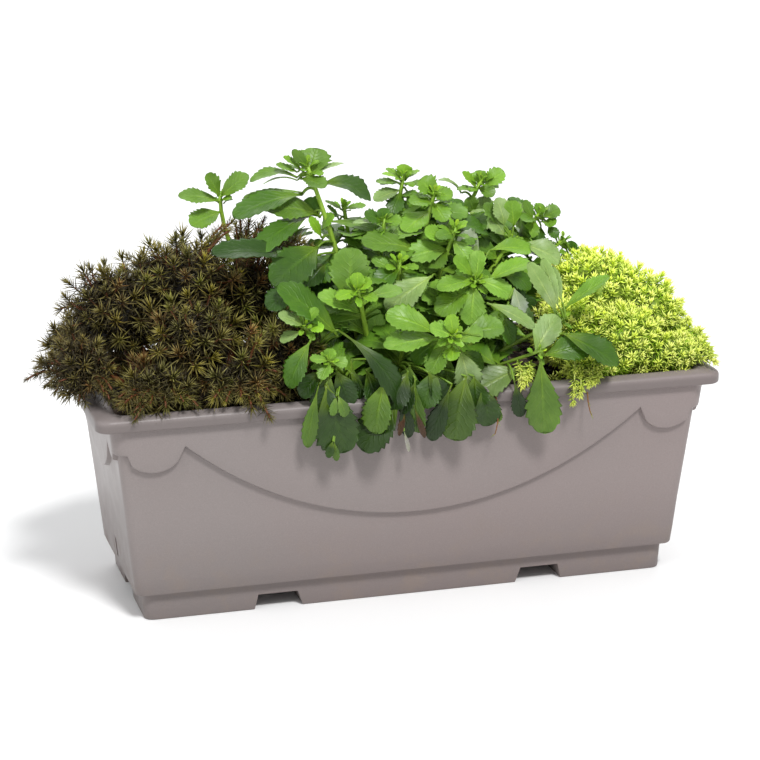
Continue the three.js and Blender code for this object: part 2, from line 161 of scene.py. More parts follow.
class Nodes:
    """A short way to write a material's nodes."""

    def __init__(self, name):
        self.material = bpy.data.materials.new(name)
        self.material.use_nodes = True
        self.tree = self.material.node_tree
        self.shader = self.tree.nodes["Principled BSDF"]

    def put(self, socket, value):
        if isinstance(value, bpy.types.NodeSocket):
            self.tree.links.new(value, socket)
        else:
            socket.default_value = value

    def node(self, kind, inputs=None, **settings):
        made = self.tree.nodes.new("ShaderNode" + kind)
        for key, value in settings.items():
            setattr(made, key, value)
        for key, value in (inputs or {}).items():
            self.put(made.inputs[key], value)
        return made

    def place(self):
        """The place on the object, in metres."""
        return self.node("TexCoord").outputs["Object"]

    def noise(self, scale, detail=3.0, roughness=0.55, vector=None):
        inputs = {"Vector": vector or self.place(), "Scale": scale, "Detail": detail, "Roughness": roughness}
        return self.node("TexNoise", inputs).outputs["Fac"]

    def math(self, operation, a, b=0.0, c=0.0):
        made = self.node("Math", operation=operation)
        for socket, value in zip(made.inputs, (a, b, c)):
            self.put(socket, value)
        return made.outputs[0]

    def ramp(self, value, low, high, out_low=0.0, out_high=1.0):
        """A smooth step from out_low to out_high, as the value goes from low to high."""
        inputs = {"Value": value, "From Min": low, "From Max": high, "To Min": out_low, "To Max": out_high}
        return self.node("MapRange", inputs, interpolation_type="SMOOTHSTEP").outputs[0]

    def mix(self, share, a, b, blend="MIX"):
        """A mix of two colours, each a socket or three numbers."""
        made = self.node("Mix", data_type="RGBA", blend_type=blend)
        self.put(made.inputs[0], share)
        for socket, colour in zip(made.inputs[6:8], (a, b)):
            self.put(socket, colour if isinstance(colour, bpy.types.NodeSocket) else (*colour, 1.0))
        return made.outputs[2]

    def multiplied(self, share, tone, factors):
        """The tone, with a share of it multiplied by factors."""
        return self.mix(share, tone, self.mix(1.0, tone, factors, "MULTIPLY"))

    def bump(self, height, strength, distance, under=None):
        inputs = {"Height": height, "Strength": strength, "Distance": distance}
        if under is not None:
            inputs["Normal"] = under
        return self.node("Bump", inputs).outputs["Normal"]

    def tint(self):
        """The colour that each vertex carries."""
        return self.node("Attribute", attribute_name="tint").outputs["Color"]

    def finish(self, **sockets):
        """Sets the shader's sockets, named with _ for a space, and returns the material."""
        for key, value in sockets.items():
            self.put(self.shader.inputs[key.replace("_", " ")], value)
        return self.material


def floor_material():
    n = Nodes("floor")
    tone = n.mix(n.noise(3.0, 2.0), (0.86, 0.86, 0.86), (0.88, 0.88, 0.88))
    return n.finish(Base_Color=tone, Roughness=0.9)


# Heights in metres between which the tone of the rim's upright face comes in and fades again, and the
# heights of the foot, dusty and darkened as painted shade, and of the splashed band below the rim.
RIM_FACE = {"low": (0.1285, 0.1295), "high": (0.1325, 0.1355)}
FOOT_SHADE_AND_DUST = (0.0, 0.075)
SPLASHED = (0.118, 0.137)


def plastic_material():
    """Satin moulded plastic: fine grain, faint flow marks, dust on the foot, splashes of compost, and painted
    shade on the foot and on the rim's face.
    """
    n = Nodes("box_plastic")
    height = n.node("SeparateXYZ", {"Vector": n.place()}).outputs["Z"]
    flow = n.noise(5.0, 2.0, 0.5)
    tone = n.mix(n.ramp(flow, 0.35, 0.65), linear(135, 127, 125), linear(137, 126, 124))
    grain = n.noise(1400.0, 2.0, 0.6)
    tone = n.mix(n.ramp(grain, 0.35, 0.75, 0.0, 0.10), tone, linear(180, 172, 168))
    # Painted shade: the foot and the face of the rim are darker, where they fall in shade.
    low = n.ramp(height, *FOOT_SHADE_AND_DUST, 1.0, 0.0)
    rim_face_shade = n.math("MULTIPLY", n.ramp(height, *RIM_FACE["low"]), n.ramp(height, *RIM_FACE["high"], 1.0, 0.45))
    shade = n.math("ADD", n.math("MULTIPLY", low, 0.40), n.math("MULTIPLY", rim_face_shade, 0.58))
    tone = n.mix(shade, tone, linear(92, 84, 82))
    dust = n.math("MULTIPLY", low, n.ramp(n.noise(60.0, 5.0, 0.65), 0.45, 0.7))
    tone = n.mix(n.math("MULTIPLY", dust, 0.25), tone, linear(140, 124, 108))
    splash = n.ramp(n.noise(420.0, 3.0, 0.6), 0.70, 0.76)
    near_rim = n.ramp(height, *SPLASHED)
    tone = n.mix(n.math("MULTIPLY", n.math("MULTIPLY", splash, near_rim), 0.45), tone, linear(84, 70, 58))
    scuffs = n.noise(90.0, 4.0, 0.6)
    polish = n.math("MULTIPLY", n.ramp(height, 0.1290, 0.1330), 0.06)
    rough = n.math("ADD", n.math("ADD", n.ramp(scuffs, 0.3, 0.7, 0.30, 0.36), polish),
                   n.math("MULTIPLY", dust, 0.2))
    normal = n.bump(grain, 0.08, 0.0003, n.bump(n.noise(14.0, 1.0, 0.4), 0.12, 0.003))
    sheen = n.ramp(height, 0.1285, 0.1305, 0.12, 0.3)
    return n.finish(Base_Color=tone, Roughness=rough, Normal=normal, Specular_IOR_Level=sheen)


def soil_material():
    """Damp compost: dark crumbs, with half of each chip's own tint."""
    n = Nodes("soil")
    tint = n.tint()
    crumbs = n.noise(520.0, 5.0, 0.65)
    tone = n.mix(n.ramp(crumbs, 0.35, 0.7), linear(26, 19, 14), linear(70, 52, 38))
    tone = n.mix(0.55, tone, tint)
    normal = n.bump(n.noise(900.0, 4.0, 0.7), 0.6, 0.0012)
    return n.finish(Base_Color=tone, Roughness=n.ramp(crumbs, 0.3, 0.8, 0.75, 0.98), Normal=normal)


def bronze_material():
    """Waxy needles: the tint of each, mottled, with patches of grey bloom."""
    n = Nodes("bronze_foliage")
    tint = n.tint()
    mottle = n.noise(700.0, 3.0, 0.6)
    tone = n.mix(n.ramp(mottle, 0.3, 0.7, 0.0, 0.35), tint, linear(44, 30, 14))
    grey = n.ramp(n.noise(150.0, 3.0), 0.52, 0.72, 0.0, 0.12)
    tone = n.mix(grey, tone, linear(132, 130, 92))
    normal = n.bump(mottle, 0.25, 0.0004)
    rough = n.ramp(mottle, 0.3, 0.7, 0.38, 0.58)
    return n.finish(Base_Color=tone, Roughness=rough, Normal=normal, Specular_IOR_Level=0.32)


def lime_material():
    """Leaflets: the tint of each, faintly mottled."""
    n = Nodes("lime_foliage")
    tint = n.tint()
    mottle = n.noise(900.0, 2.0, 0.6)
    tone = n.mix(n.ramp(mottle, 0.3, 0.7, 0.0, 0.15), tint, linear(190, 214, 60))
    normal = n.bump(mottle, 0.2, 0.0003)
    rough = n.ramp(mottle, 0.3, 0.7, 0.4, 0.55)
    return n.finish(Base_Color=tone, Roughness=rough, Normal=normal, Specular_IOR_Level=0.35)


def leaf_material():
    """Fleshy leaves: a pale midrib and side veins from the leaf's own map, mottled, with a waxy bloom."""
    n = Nodes("green_foliage")
    tint = n.tint()
    place = n.node("UVMap", uv_map="leaf").outputs["UV"]
    parts = n.node("SeparateXYZ", {"Vector": place})
    across = n.math("ABSOLUTE", n.math("MULTIPLY_ADD", parts.outputs["X"], 2.0, -1.0))
    along = parts.outputs["Y"]
    midrib = n.math("MULTIPLY", n.ramp(across, 0.03, 0.14, 1.0, 0.0), n.ramp(along, 0.25, 0.95, 1.0, 0.15))
    # The side veins slant forwards from the midrib, and wander a little.
    wander = n.math("MULTIPLY", n.noise(240.0, 2.0), 0.054)
    slanting = n.math("ADD", n.math("MULTIPLY_ADD", across, -0.34, along), wander)
    rows = n.math("SINE", n.math("MULTIPLY", slanting, 48.0))
    veins = n.math("MULTIPLY", n.ramp(rows, 0.55, 1.0), n.ramp(across, 0.05, 0.9, 1.0, 0.2))
    mottle = n.noise(170.0, 4.0, 0.6)
    tone = n.multiplied(n.ramp(mottle, 0.3, 0.72, 0.0, 0.5), tint, (0.55, 0.68, 0.40))
    tone = n.multiplied(n.math("MULTIPLY", veins, 0.22), tone, (1.7, 1.5, 1.5))
    tone = n.multiplied(n.math("MULTIPLY", midrib, 0.55), tone, (1.9, 1.7, 1.6))
    bloom = n.ramp(n.noise(55.0, 3.0, 0.6), 0.45, 0.72, 0.0, 0.3)
    tone = n.multiplied(bloom, tone, (1.8, 1.5, 3.2))
    relief = n.math("SUBTRACT", n.math("MULTIPLY", mottle, 0.5), n.math("MULTIPLY_ADD", veins, 0.6, midrib))
    normal = n.bump(n.noise(1500.0, 2.0), 0.12, 0.0003, n.bump(relief, 0.6, 0.0007))
    rough = n.ramp(mottle, 0.3, 0.7, 0.36, 0.50)
    return n.finish(Base_Color=tone, Roughness=rough, Normal=normal, Specular_IOR_Level=0.42)


def roots_material():
    """Compost held by pale roots that run mostly up and down."""
    n = Nodes("roots")
    upright = n.node("Mapping", {"Vector": n.place(), "Scale": (1.0, 1.0, 0.35)}).outputs["Vector"]
    strands = n.noise(260.0, 4.0, 0.6, upright)
    tone = n.mix(n.ramp(strands, 0.45, 0.62), linear(58, 42, 30), linear(168, 142, 104))
    rough = n.ramp(strands, 0.3, 0.8, 0.8, 0.95)
    return n.finish(Base_Color=tone, Roughness=rough, Normal=n.bump(strands, 0.7, 0.002))


# ---------- meshes ----------

class Shape:
    """Gathers vertices, with their colours and places on a leaf, and faces, and makes a piece of them."""

    def __init__(self):
        self.points, self.tints, self.places, self.faces = [], [], [], []
        self.count = 0

    def add(self, points, faces, tint, place=None):
        """faces is a list of arrays of vertex numbers, one array for each number of corners."""
        points = np.asarray(points, float).reshape(-1, 3)
        tint = np.broadcast_to(np.asarray(tint, float), (len(points), 3))
        self.points.append(points)
        self.tints.append(tint)
        self.places.append(np.full((len(points), 2), 0.5) if place is None else place)
        self.faces += [np.asarray(f) + self.count for f in faces if len(f)]
        self.count += len(points)

    def piece(self, name, node, material, smooth=True):
        points, tints = np.concatenate(self.points) * MM, np.concatenate(self.tints)
        mesh = bpy.data.meshes.new(name)
        mesh.from_pydata(points.tolist(), [], [row for block in self.faces for row in block.tolist()])
        colours = mesh.color_attributes.new("tint", "FLOAT_COLOR", "POINT")
        colours.data.foreach_set("color", np.column_stack([tints, np.ones(len(tints))]).ravel())
        corners = np.empty(len(mesh.loops), np.int32)
        mesh.loops.foreach_get("vertex_index", corners)
        places = np.concatenate(self.places)[corners]
        mesh.uv_layers.new(name="leaf").data.foreach_set("uv", places.ravel())
        if smooth:
            mesh.shade_smooth()
        mesh.materials.append(material)
        as_piece(name, mesh, node)


def as_piece(name, mesh, node):
    """Puts a mesh into the scene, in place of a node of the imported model."""
    made = bpy.data.objects.new(name, mesh)
    bpy.context.collection.objects.link(made)
    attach(made, "root")
    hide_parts(node)


def strips(rows, columns, wrap=False):
    """Quads between rows of vertices."""
    i, j = np.meshgrid(np.arange(rows - 1), np.arange(columns if wrap else columns - 1), indexing="ij")
    a, b = i * columns + j, i * columns + (j + 1) % columns
    return np.stack([a, b, b + columns, a + columns], -1).reshape(-1, 4)


def closed(rows, columns):
    """The faces of a closed skin over rows of vertices: quads between them, and a cap on each end."""
    first, last = np.arange(columns)[None], (rows - 1) * columns + np.arange(columns)[None]
    return [strips(rows, columns, True), first[:, ::-1], last]


def frame_about(axis):
    """Two directions at right angles to axis and to each other."""
    side = unit(np.cross(axis, np.where(np.abs(axis[..., 2:3]) > 0.9, [1.0, 0, 0], [0, 0, 1.0])))
    return side, np.cross(axis, side)


def across_from(axis, angle):
    """The direction at right angles to axis, turned about it by angle."""
    side, other = frame_about(axis)
    return side * np.cos(angle)[..., None] + other * np.sin(angle)[..., None]


def tube(shape, path, radii, tint, sides=6):
    """A closed round stem along a path."""
    path = np.asarray(path, float)
    radii = np.broadcast_to(radii, len(path))
    tangents = unit(np.gradient(path, axis=0))
    side, other = frame_about(tangents)
    angle = np.arange(sides) * 2 * math.pi / sides
    ring = side[:, None] * np.cos(angle)[None, :, None] + other[:, None] * np.sin(angle)[None, :, None]
    points = (path[:, None] + ring * radii[:, None, None]).reshape(-1, 3)
    tint = np.asarray(tint, float)
    if tint.ndim == 2:
        tint = np.repeat(tint, sides, 0)
    shape.add(points, closed(len(path), sides), tint)


def curve(points, steps):
    """A Bezier curve: from the first point to the last, drawn towards those between."""
    points, t = np.asarray(points, float), np.linspace(0, 1, steps)[:, None]
    while len(points) > 1:
        points = [a * (1 - t) + b * t for a, b in zip(points[:-1], points[1:])]
    return points[0]


def blend(a, b, share):
    return np.asarray(a) * (1 - share) + np.asarray(b) * share


def spikes(shape, base, along, normal, length, width, bend, rings, tint_base, tint_tip):
    """Three-sided tapering leaves, many at once. rings are (share of the length, share of the width)."""
    side = unit(np.cross(along, normal))
    up = unit(np.cross(side, along))
    points, tints = [], []
    for s, r in rings:
        centre = base + along * (length * s)[:, None] + normal * (bend * length * s * s)[:, None]
        for a in np.radians([90.0, 210.0, 330.0]):
            aside = side * (width * r * 0.5 * math.cos(a))[:, None]
            above = up * (width * r * 0.34 * math.sin(a))[:, None]
            points.append(centre + aside + above)
            tints.append(blend(tint_base, tint_tip, s))
    points.append(base + along * length[:, None] + normal * (bend * length)[:, None])
    tints.append(tint_tip)
    per = len(points)
    points, tints = np.stack(points, 1), np.stack(tints, 1)
    last = (len(rings) - 1) * 3
    ends = np.array([[2, 1, 0]] + [[last + i, last + (i + 1) % 3, per - 1] for i in range(3)])
    start = (np.arange(len(base)) * per)[:, None, None]
    walls = (strips(len(rings), 3, True)[None] + start).reshape(-1, 4)
    ends = (ends[None] + start).reshape(-1, 3)
    shape.add(points.reshape(-1, 3), [walls, ends], tints.reshape(-1, 3))


# ---------- the box ----------

# The box, as half-lengths x and half-depths y at the heights named, and radii of corners. draft is how
# much the walls widen for each millimetre of height, and edge is where the inner lip turns over.
RIM = {"x": 200.0, "y": 77.1, "corner": 9.0, "under": 128.8, "edge": 136.2}
WALL = {"x": 176.5, "y": 60.1, "corner": 6.0, "foot": 18.0, "thick": 3.0, "draft_x": 0.103, "draft_y": 0.093}
FOOT = {"x": 170.6, "y": 54.8, "corner": 6.0, "draft": 0.05, "floor": 3.0}
# The channels under the foot, from front to back and in from each end.
CHANNEL = {"in": 69.8, "out": 101.7, "top_in": 73.7, "top_out": 99.0, "top": 10.0}
END_CHANNEL = {"half": 15.0, "top_half": 12.5, "from": 97.0}
DRAIN = {"radius": 4.0, "y": 28.0, "end_x": 134.0, "low": 5.0, "high": 20.0}
# The raised band below the rim. On each face its lower edge is one large arc, then from the peak on a
# small one to the corner: big is the large arc's centre height and radius, small the small one's centre.
VALANCE = {
    "proud": 3.0, "corner_z": 112.5,
    "front": {"peak": 146.0, "big": (274.5, 215.5), "small": (166.0, 120.8)},
    "end": {"peak": 48.0, "big": (143.1, 55.1), "small": (60.5, 121.8)},
}
# The wedge pressed into each end wall.
RECESS = {"half": 2.5, "low": 24.0, "high": 38.0, "depth": 2.2, "beyond": 6.0}
SHARP = 34.0                                     # degrees past which an edge of the box is sharp
CORNER_STEPS, COLUMN = 7, 4.0                    # columns round a corner, and their spacing along a face

# The outside from below. Each row: height, and how far inside the foot's or the wall's full size it is.
FOOT_PROFILE = ((0.0, 1.0), (0.3, 0.3), (1.0, 0.0), (9.0, 0.0), (17.4, 0.0), (18.0, -0.3))
WALL_PROFILE = ((18.0, 1.4), (18.3, 0.4), (19.2, 0.0), (30.0, 0.0))
# The valance's lower edge: share of the way up to the swag, shift from there, and how far proud.
EDGE_PROFILE = (
    (0.25, 0.0, 0.0), (0.5, 0.0, 0.0), (0.75, 0.0, 0.0), (1.0, -1.3, 0.0), (1.0, -0.7, 0.12),
    (1.0, -0.35, 0.6), (1.0, 0.1, 2.3), (1.0, 0.5, 2.82), (1.0, 1.2, 3.0),
)
# The rim: height, how far inside its full length and depth, and how much tighter its corner.
RIM_PROFILE = (
    (128.8, 1.6, 1.6, 1.0), (128.95, 0.7, 0.7, 0.5), (129.5, 0.12, 0.12, 0.0), (130.3, 0.0, 0.0, 0.0),
    (132.4, 0.0, 0.0, 0.0), (133.9, 0.0, 0.0, 0.0), (134.7, 0.14, 0.14, 0.1), (135.5, 0.52, 0.52, 0.4),
    (136.1, 1.1, 1.1, 0.8), (136.6, 1.9, 1.8, 1.3), (137.0, 3.0, 2.8, 1.9), (137.7, 5.2, 4.2, 2.7),
    (138.1, 7.0, 5.4, 3.3), (138.2, 8.2, 6.4, 3.6),
)
# The rounded lip inside the rim: height, how far outside the hollow's size in x and y, and corner.
LIP_PROFILE = (
    (133.5, -0.25, -0.22, 6.0), (136.0, 0.25, 0.2, 6.3), (137.2, 0.9, 0.8, 7.0), (137.9, 2.0, 1.8, 8.0),
    (138.3, 3.8, 3.3, 9.0), (146.0, 3.8, 3.3, 9.0),
)


def wall_size(z):
    return WALL["x"] + WALL["draft_x"] * (z - WALL["foot"]), WALL["y"] + WALL["draft_y"] * (z - WALL["foot"])


def foot_size(z):
    return FOOT["x"] + FOOT["draft"] * z, FOOT["y"] + FOOT["draft"] * z


def swag_height(at, face):
    """Height of the valance's lower edge at a distance from the middle of a face."""
    at = abs(at)
    big_z, big_r = face["big"]
    small_at, small_z = face["small"]
    peak_z = big_z - math.sqrt(big_r ** 2 - face["peak"] ** 2)
    if at <= face["peak"]:
        return big_z - math.sqrt(big_r ** 2 - at ** 2)
    r = math.hypot(small_at - face["peak"], small_z - peak_z)
    low = small_z - math.sqrt(max(r ** 2 - (at - small_at) ** 2, 0.0))
    return min(low, VALANCE["corner_z"]) if at > small_at else low


def face_columns(half, face):
    """Columns along a face, as shares of its straight half-width, with one at each peak of the swags."""
    count = max(4, round(2 * half / COLUMN))
    places = np.linspace(-half, half, count + 1)
    for peak in (-face["peak"], face["peak"]):
        places[np.argmin(np.abs(places - peak))] = peak
    return places / half


class Loop:
    """The columns of a rounded rectangle: place() gives all of them at a height."""

    def __init__(self):
        half_x, half_y = wall_size(VALANCE["corner_z"])
        corner = WALL["corner"] + 1
        along_x = face_columns(half_x - corner, VALANCE["front"])
        along_y = face_columns(half_y - corner, VALANCE["end"])
        # Each column: the side's number, then its share of the straight face or its angle round the corner.
        self.columns = []
        for side, shares in enumerate((along_y, along_x[::-1], along_y[::-1], along_x)):
            self.columns += [(side, s, None) for s in shares]
            turn = (side + np.arange(1, CORNER_STEPS) / CORNER_STEPS) * math.pi / 2
            self.columns += [(side, None, t) for t in turn]
        self.size = len(self.columns)

    def place(self, half_x, half_y, corner):
        """x and y of each column."""
        found = np.empty((self.size, 2))
        ends = {0: (1, 1), 1: (-1, 1), 2: (-1, -1), 3: (1, -1)}
        for i, (side, share, turn) in enumerate(self.columns):
            if share is None:
                sx, sy = ends[side]
                found[i, 0] = sx * (half_x - corner) + corner * math.cos(turn)
                found[i, 1] = sy * (half_y - corner) + corner * math.sin(turn)
            elif side in (0, 2):
                found[i] = (half_x if side == 0 else -half_x), share * (half_y - corner)
            else:
                found[i] = share * (half_x - corner), (half_y if side == 1 else -half_y)
        return found

    def level(self, z, half_x, half_y, corner):
        """A row of points at one height."""
        return np.column_stack([self.place(half_x, half_y, corner), np.full(self.size, z)])

    def swag(self):
        """Height of the valance's edge at each column."""
        half_x, half_y = wall_size(VALANCE["corner_z"])
        flat = self.place(half_x, half_y, WALL["corner"] + 1)
        heights = np.full(self.size, VALANCE["corner_z"])
        for i, (side, share, _) in enumerate(self.columns):
            if share is not None:
                face = VALANCE["end"] if side in (0, 2) else VALANCE["front"]
                heights[i] = swag_height(flat[i, 1 if side in (0, 2) else 0], face)
        return heights


def outside_rows(loop):
    """The trough's outside, from the foot to the top of the rim, as rows of points."""
    rows = []
    for profile, size, corner in (
            (FOOT_PROFILE, foot_size, FOOT["corner"]), (WALL_PROFILE, wall_size, WALL["corner"])):
        for z, inset in profile:
            x, y = size(z)
            rows.append(loop.level(z, x - inset, y - inset, corner))
    swag = loop.swag()
    start = WALL_PROFILE[-1][0]
    for share, shift, proud in EDGE_PROFILE:
        rows.append(sloped(loop, start + (swag - start) * share + shift, proud))
    low, top = swag + EDGE_PROFILE[-1][1], RIM["under"] - 0.6
    for share in (0.3, 0.65, 1.0):
        rows.append(sloped(loop, low + (top - low) * share, VALANCE["proud"]))
    x, y = (s + VALANCE["proud"] + 0.6 for s in wall_size(RIM["under"]))
    rows.append(loop.level(RIM["under"], x, y, WALL["corner"] + 5))
    for z, in_x, in_y, tighter in RIM_PROFILE:
        rows.append(loop.level(z, RIM["x"] - in_x, RIM["y"] - in_y, RIM["corner"] - tighter))
    return rows


def sloped(loop, heights, proud):
    """A row on the sloping wall at a height of its own for each column."""
    found = np.empty((loop.size, 3))
    for z in np.unique(heights):
        at = heights == z
        x, y = wall_size(z)
        found[at, :2] = loop.place(x + proud, y + proud, WALL["corner"] + 1 + proud)[at]
    found[:, 2] = heights
    return found


def inside_rows(loop):
    """The trough's hollow, from the floor up through its rounded lip."""
    thick = WALL["thick"]
    shelf, middle = WALL["foot"] + thick, 90.0
    rows = []
    for z, (x, y), corner in (
            (FOOT["floor"], foot_size(FOOT["floor"]), 4.0), (shelf, foot_size(shelf), 4.0),
            (shelf, wall_size(shelf), 4.0), (middle, wall_size(middle), 5.0)):
        rows.append(loop.level(z, x - thick, y - thick, corner))
    in_x, in_y = (s - thick for s in wall_size(RIM["edge"]))
    for z, out_x, out_y, corner in LIP_PROFILE:
        rows.append(loop.level(z, in_x + out_x, in_y + out_y, corner))
    return rows


def skin(name, rows):
    """A closed mesh over rows of points."""
    mesh = bpy.data.meshes.new(name)
    faces = [face for block in closed(len(rows), len(rows[0])) for face in block.tolist()]
    mesh.from_pydata((np.concatenate(rows) * MM).tolist(), [], faces)
    return mesh


def prism(outline, axis, start, end):
    """A closed prism: outline is (across, up) and runs along axis 'x' or 'y'."""
    n = len(outline)
    points = []
    for at in (start, end):
        for across, up in outline:
            points.append((at, across, up) if axis == "x" else (across, at, up))
    faces = [list(range(n)), [n + i for i in range(n)][::-1]]
    faces += [[i, i + n, (i + 1) % n + n, (i + 1) % n] for i in range(n)]
    mesh = bpy.data.meshes.new("cutter")
    mesh.from_pydata([[c * MM for c in p] for p in points], [], faces)
    tidy_mesh(mesh)
    return mesh


def cylinder(x, y, radius, low, high, sides=28):
    """A closed upright cylinder, for cutting."""
    turn = np.arange(sides) * 2 * math.pi / sides
    across, deep = x + radius * np.cos(turn), y + radius * np.sin(turn)
    return skin("cutter", [np.column_stack([across, deep, np.full(sides, z)]) for z in (low, high)])


def tidy_mesh(mesh):
    """Turns all faces outwards."""
    work = bmesh.new()
    work.from_mesh(mesh)
    bmesh.ops.recalc_face_normals(work, faces=work.faces)
    work.to_mesh(mesh)
    work.free()


def cut(mesh, tools):
    """The mesh less each of the tools."""
    holder = bpy.data.objects.new("cutting", mesh)
    bpy.context.collection.objects.link(holder)
    cutters = []
    for tool in tools:
        cutter = bpy.data.objects.new("cutter", tool)
        bpy.context.collection.objects.link(cutter)
        modifier = holder.modifiers.new("cut", "BOOLEAN")
        modifier.operation, modifier.solver, modifier.object = "DIFFERENCE", "EXACT", cutter
        cutters.append(cutter)
    graph = bpy.context.evaluated_depsgraph_get()
    result = bpy.data.meshes.new_from_object(holder.evaluated_get(graph))
    for item in [holder, *cutters]:
        old = item.data
        bpy.data.objects.remove(item)
        bpy.data.meshes.remove(old)
    return result


def channel_tools(grow):
    """The channels under the foot, each wall of them moved out by grow."""
    low, high = -1.0, CHANNEL["top"] + grow
    tools = []
    for side in (1, -1):
        through = [side * (CHANNEL["in"] - grow), side * (CHANNEL["out"] + grow),
                   side * (CHANNEL["top_out"] + grow), side * (CHANNEL["top_in"] - grow)]
        half, top_half = END_CHANNEL["half"] + grow, END_CHANNEL["top_half"] + grow
        lengthwise = [-half, half, top_half, -top_half]
        start, end = side * (END_CHANNEL["from"] - grow), side * RIM["x"]
        levels = (low, low, high, high)
        tools.append(prism(list(zip(through, levels)), "y", -RIM["y"], RIM["y"]))
        tools.append(prism(list(zip(lengthwise, levels)), "x", start, end))
    return tools


def recess_tool(side):
    """The wedge-shaped recess low on an end wall."""
    low, high, beyond = RECESS["low"], RECESS["high"], RECESS["beyond"]
    low_x, high_x = wall_size(low)[0], wall_size(high)[0]
    wedge = [(side * (high_x + 0.01), high), (side * (high_x + beyond), high + 2),
             (side * (low_x + beyond), low), (side * (low_x - RECESS["depth"]), low)]
    return prism(wedge, "y", -RECESS["half"], RECESS["half"])


def make_box():
    loop = Loop()
    outside, inside = skin("window_box", outside_rows(loop)), skin("hollow", inside_rows(loop))
    tidy_mesh(outside)
    tidy_mesh(inside)
    # The floor stays whole over the channels, so they are thickened by it and kept out of the hollow.
    hollow = cut(inside, channel_tools(FOOT["floor"]))
    middle = (CHANNEL["in"] + CHANNEL["out"]) / 2
    holes = [(s * middle, t * DRAIN["y"]) for s in (-1, 1) for t in (-1, 1)]
    holes += [(s * DRAIN["end_x"], 0.0) for s in (-1, 1)]
    tools = [hollow, *channel_tools(0.0)]
    tools += [cylinder(x, y, DRAIN["radius"], DRAIN["low"], DRAIN["high"]) for x, y in holes]
    tools += [recess_tool(side) for side in (-1, 1)]
    mesh = cut(outside, tools)
    mesh.name = "window_box_shell"
    mesh.shade_smooth()
    mesh.set_sharp_from_angle(angle=math.radians(SHARP))
    mesh.materials.clear()
    mesh.materials.append(plastic_material())
    as_piece("window_box_shell", mesh, "window_box")


# ---------- the compost ----------

# The surface: its height, its gap to the wall, its rings from the wall inwards, the height of its lumps
# and crumbs, and how far it sinks at the wall.
SOIL = {"top": 126.0, "gap": 0.4, "rings": 30, "lumps": 2.6, "crumbs": 1.5, "sink": 1.5}
SOIL_TONES = np.array([linear(34, 25, 18), linear(74, 55, 40)])
# Chips of bark: how many, the range of their size, their distance from the wall, and their colours.
CHIPS = {"count": 620, "size": (0.9, 3.0), "edge": 4.0,
         "tones": [[60, 44, 32], [92, 70, 48], [38, 28, 22], [120, 98, 72]]}
BOX_FACES = np.array([(0, 2, 3, 1), (4, 5, 7, 6), (0, 1, 5, 4), (2, 6, 7, 3), (0, 4, 6, 2), (1, 3, 7, 5)])


def uneven(x, y, scale, seed, octaves):
    """A fractal's height, from about -1 to 1."""
    return noise.fractal(Vector((x / scale, y / scale, seed)), 0.9, 2.1, octaves)


def soil_size(z):
    """The compost's half-length and half-depth, a gap clear of the wall."""
    return (s - WALL["thick"] - SOIL["gap"] for s in wall_size(z))


def soil_surface(shape, loop):
    """The closed body of the compost, with an uneven top."""
    half_x, half_y = soil_size(SOIL["top"])
    floor = WALL["foot"] + WALL["thick"]
    rows = [loop.level(floor + SOIL["gap"], *soil_size(floor + 1), 4.0)]
    for ring in range(SOIL["rings"]):
        share = 1 - ring / SOIL["rings"]
        y = half_y * share
        x = half_x - (half_y - y) * 0.985
        flat = loop.place(x, y, max(6.0 * share, 0.4))
        sink = SOIL["sink"] if ring == 0 else 0.0
        height = [SOIL["top"] + SOIL["lumps"] * uneven(px, py, 16.0, 3.1, 4)
                  + SOIL["crumbs"] * uneven(px, py, 4.0, 8.2, 3) - sink for px, py in flat]
        rows.append(np.column_stack([flat, height]))
    points = np.concatenate(rows)
    shade = np.array([0.5 + 0.5 * noise.noise(Vector(p / 6.0)) for p in points])[:, None]
    shape.add(points, closed(len(rows), loop.size), blend(*SOIL_TONES, shade))


def bark_chip(shape, half_x, half_y, rng):
    """One rough chip at a random place on the compost."""
    x, y = rng.uniform(-half_x, half_x), rng.uniform(-half_y, half_y)
    size = rng.uniform(*CHIPS["size"]) * np.array([1.0, rng.uniform(0.5, 0.9), rng.uniform(0.35, 0.7)])
    turn = Euler(rng.uniform(-0.7, 0.7, 2).tolist() + [rng.uniform(0, 6.28)]).to_matrix()
    corners = np.array([(sx, sy, sz) for sz in (-1, 1) for sy in (-1, 1) for sx in (-1, 1)], float)
    corners = (corners + rng.uniform(-0.35, 0.35, (8, 3))) * size
    corners = corners @ np.array(turn).T + (x, y, SOIL["top"] + 1.0 + rng.uniform(-0.8, 1.2))
    shape.add(corners, [BOX_FACES], linear(*rng.choice(CHIPS["tones"])))


def make_soil():
    rng = np.random.default_rng(11)
    shape = Shape()
    soil_surface(shape, Loop())
    half_x, half_y = (s - CHIPS["edge"] for s in soil_size(SOIL["top"]))
    for _ in range(CHIPS["count"]):
        bark_chip(shape, half_x, half_y, rng)
    shape.piece("potting_soil_surface", "potting_soil", soil_material(), smooth=False)


# ---------- cushion plants ----------

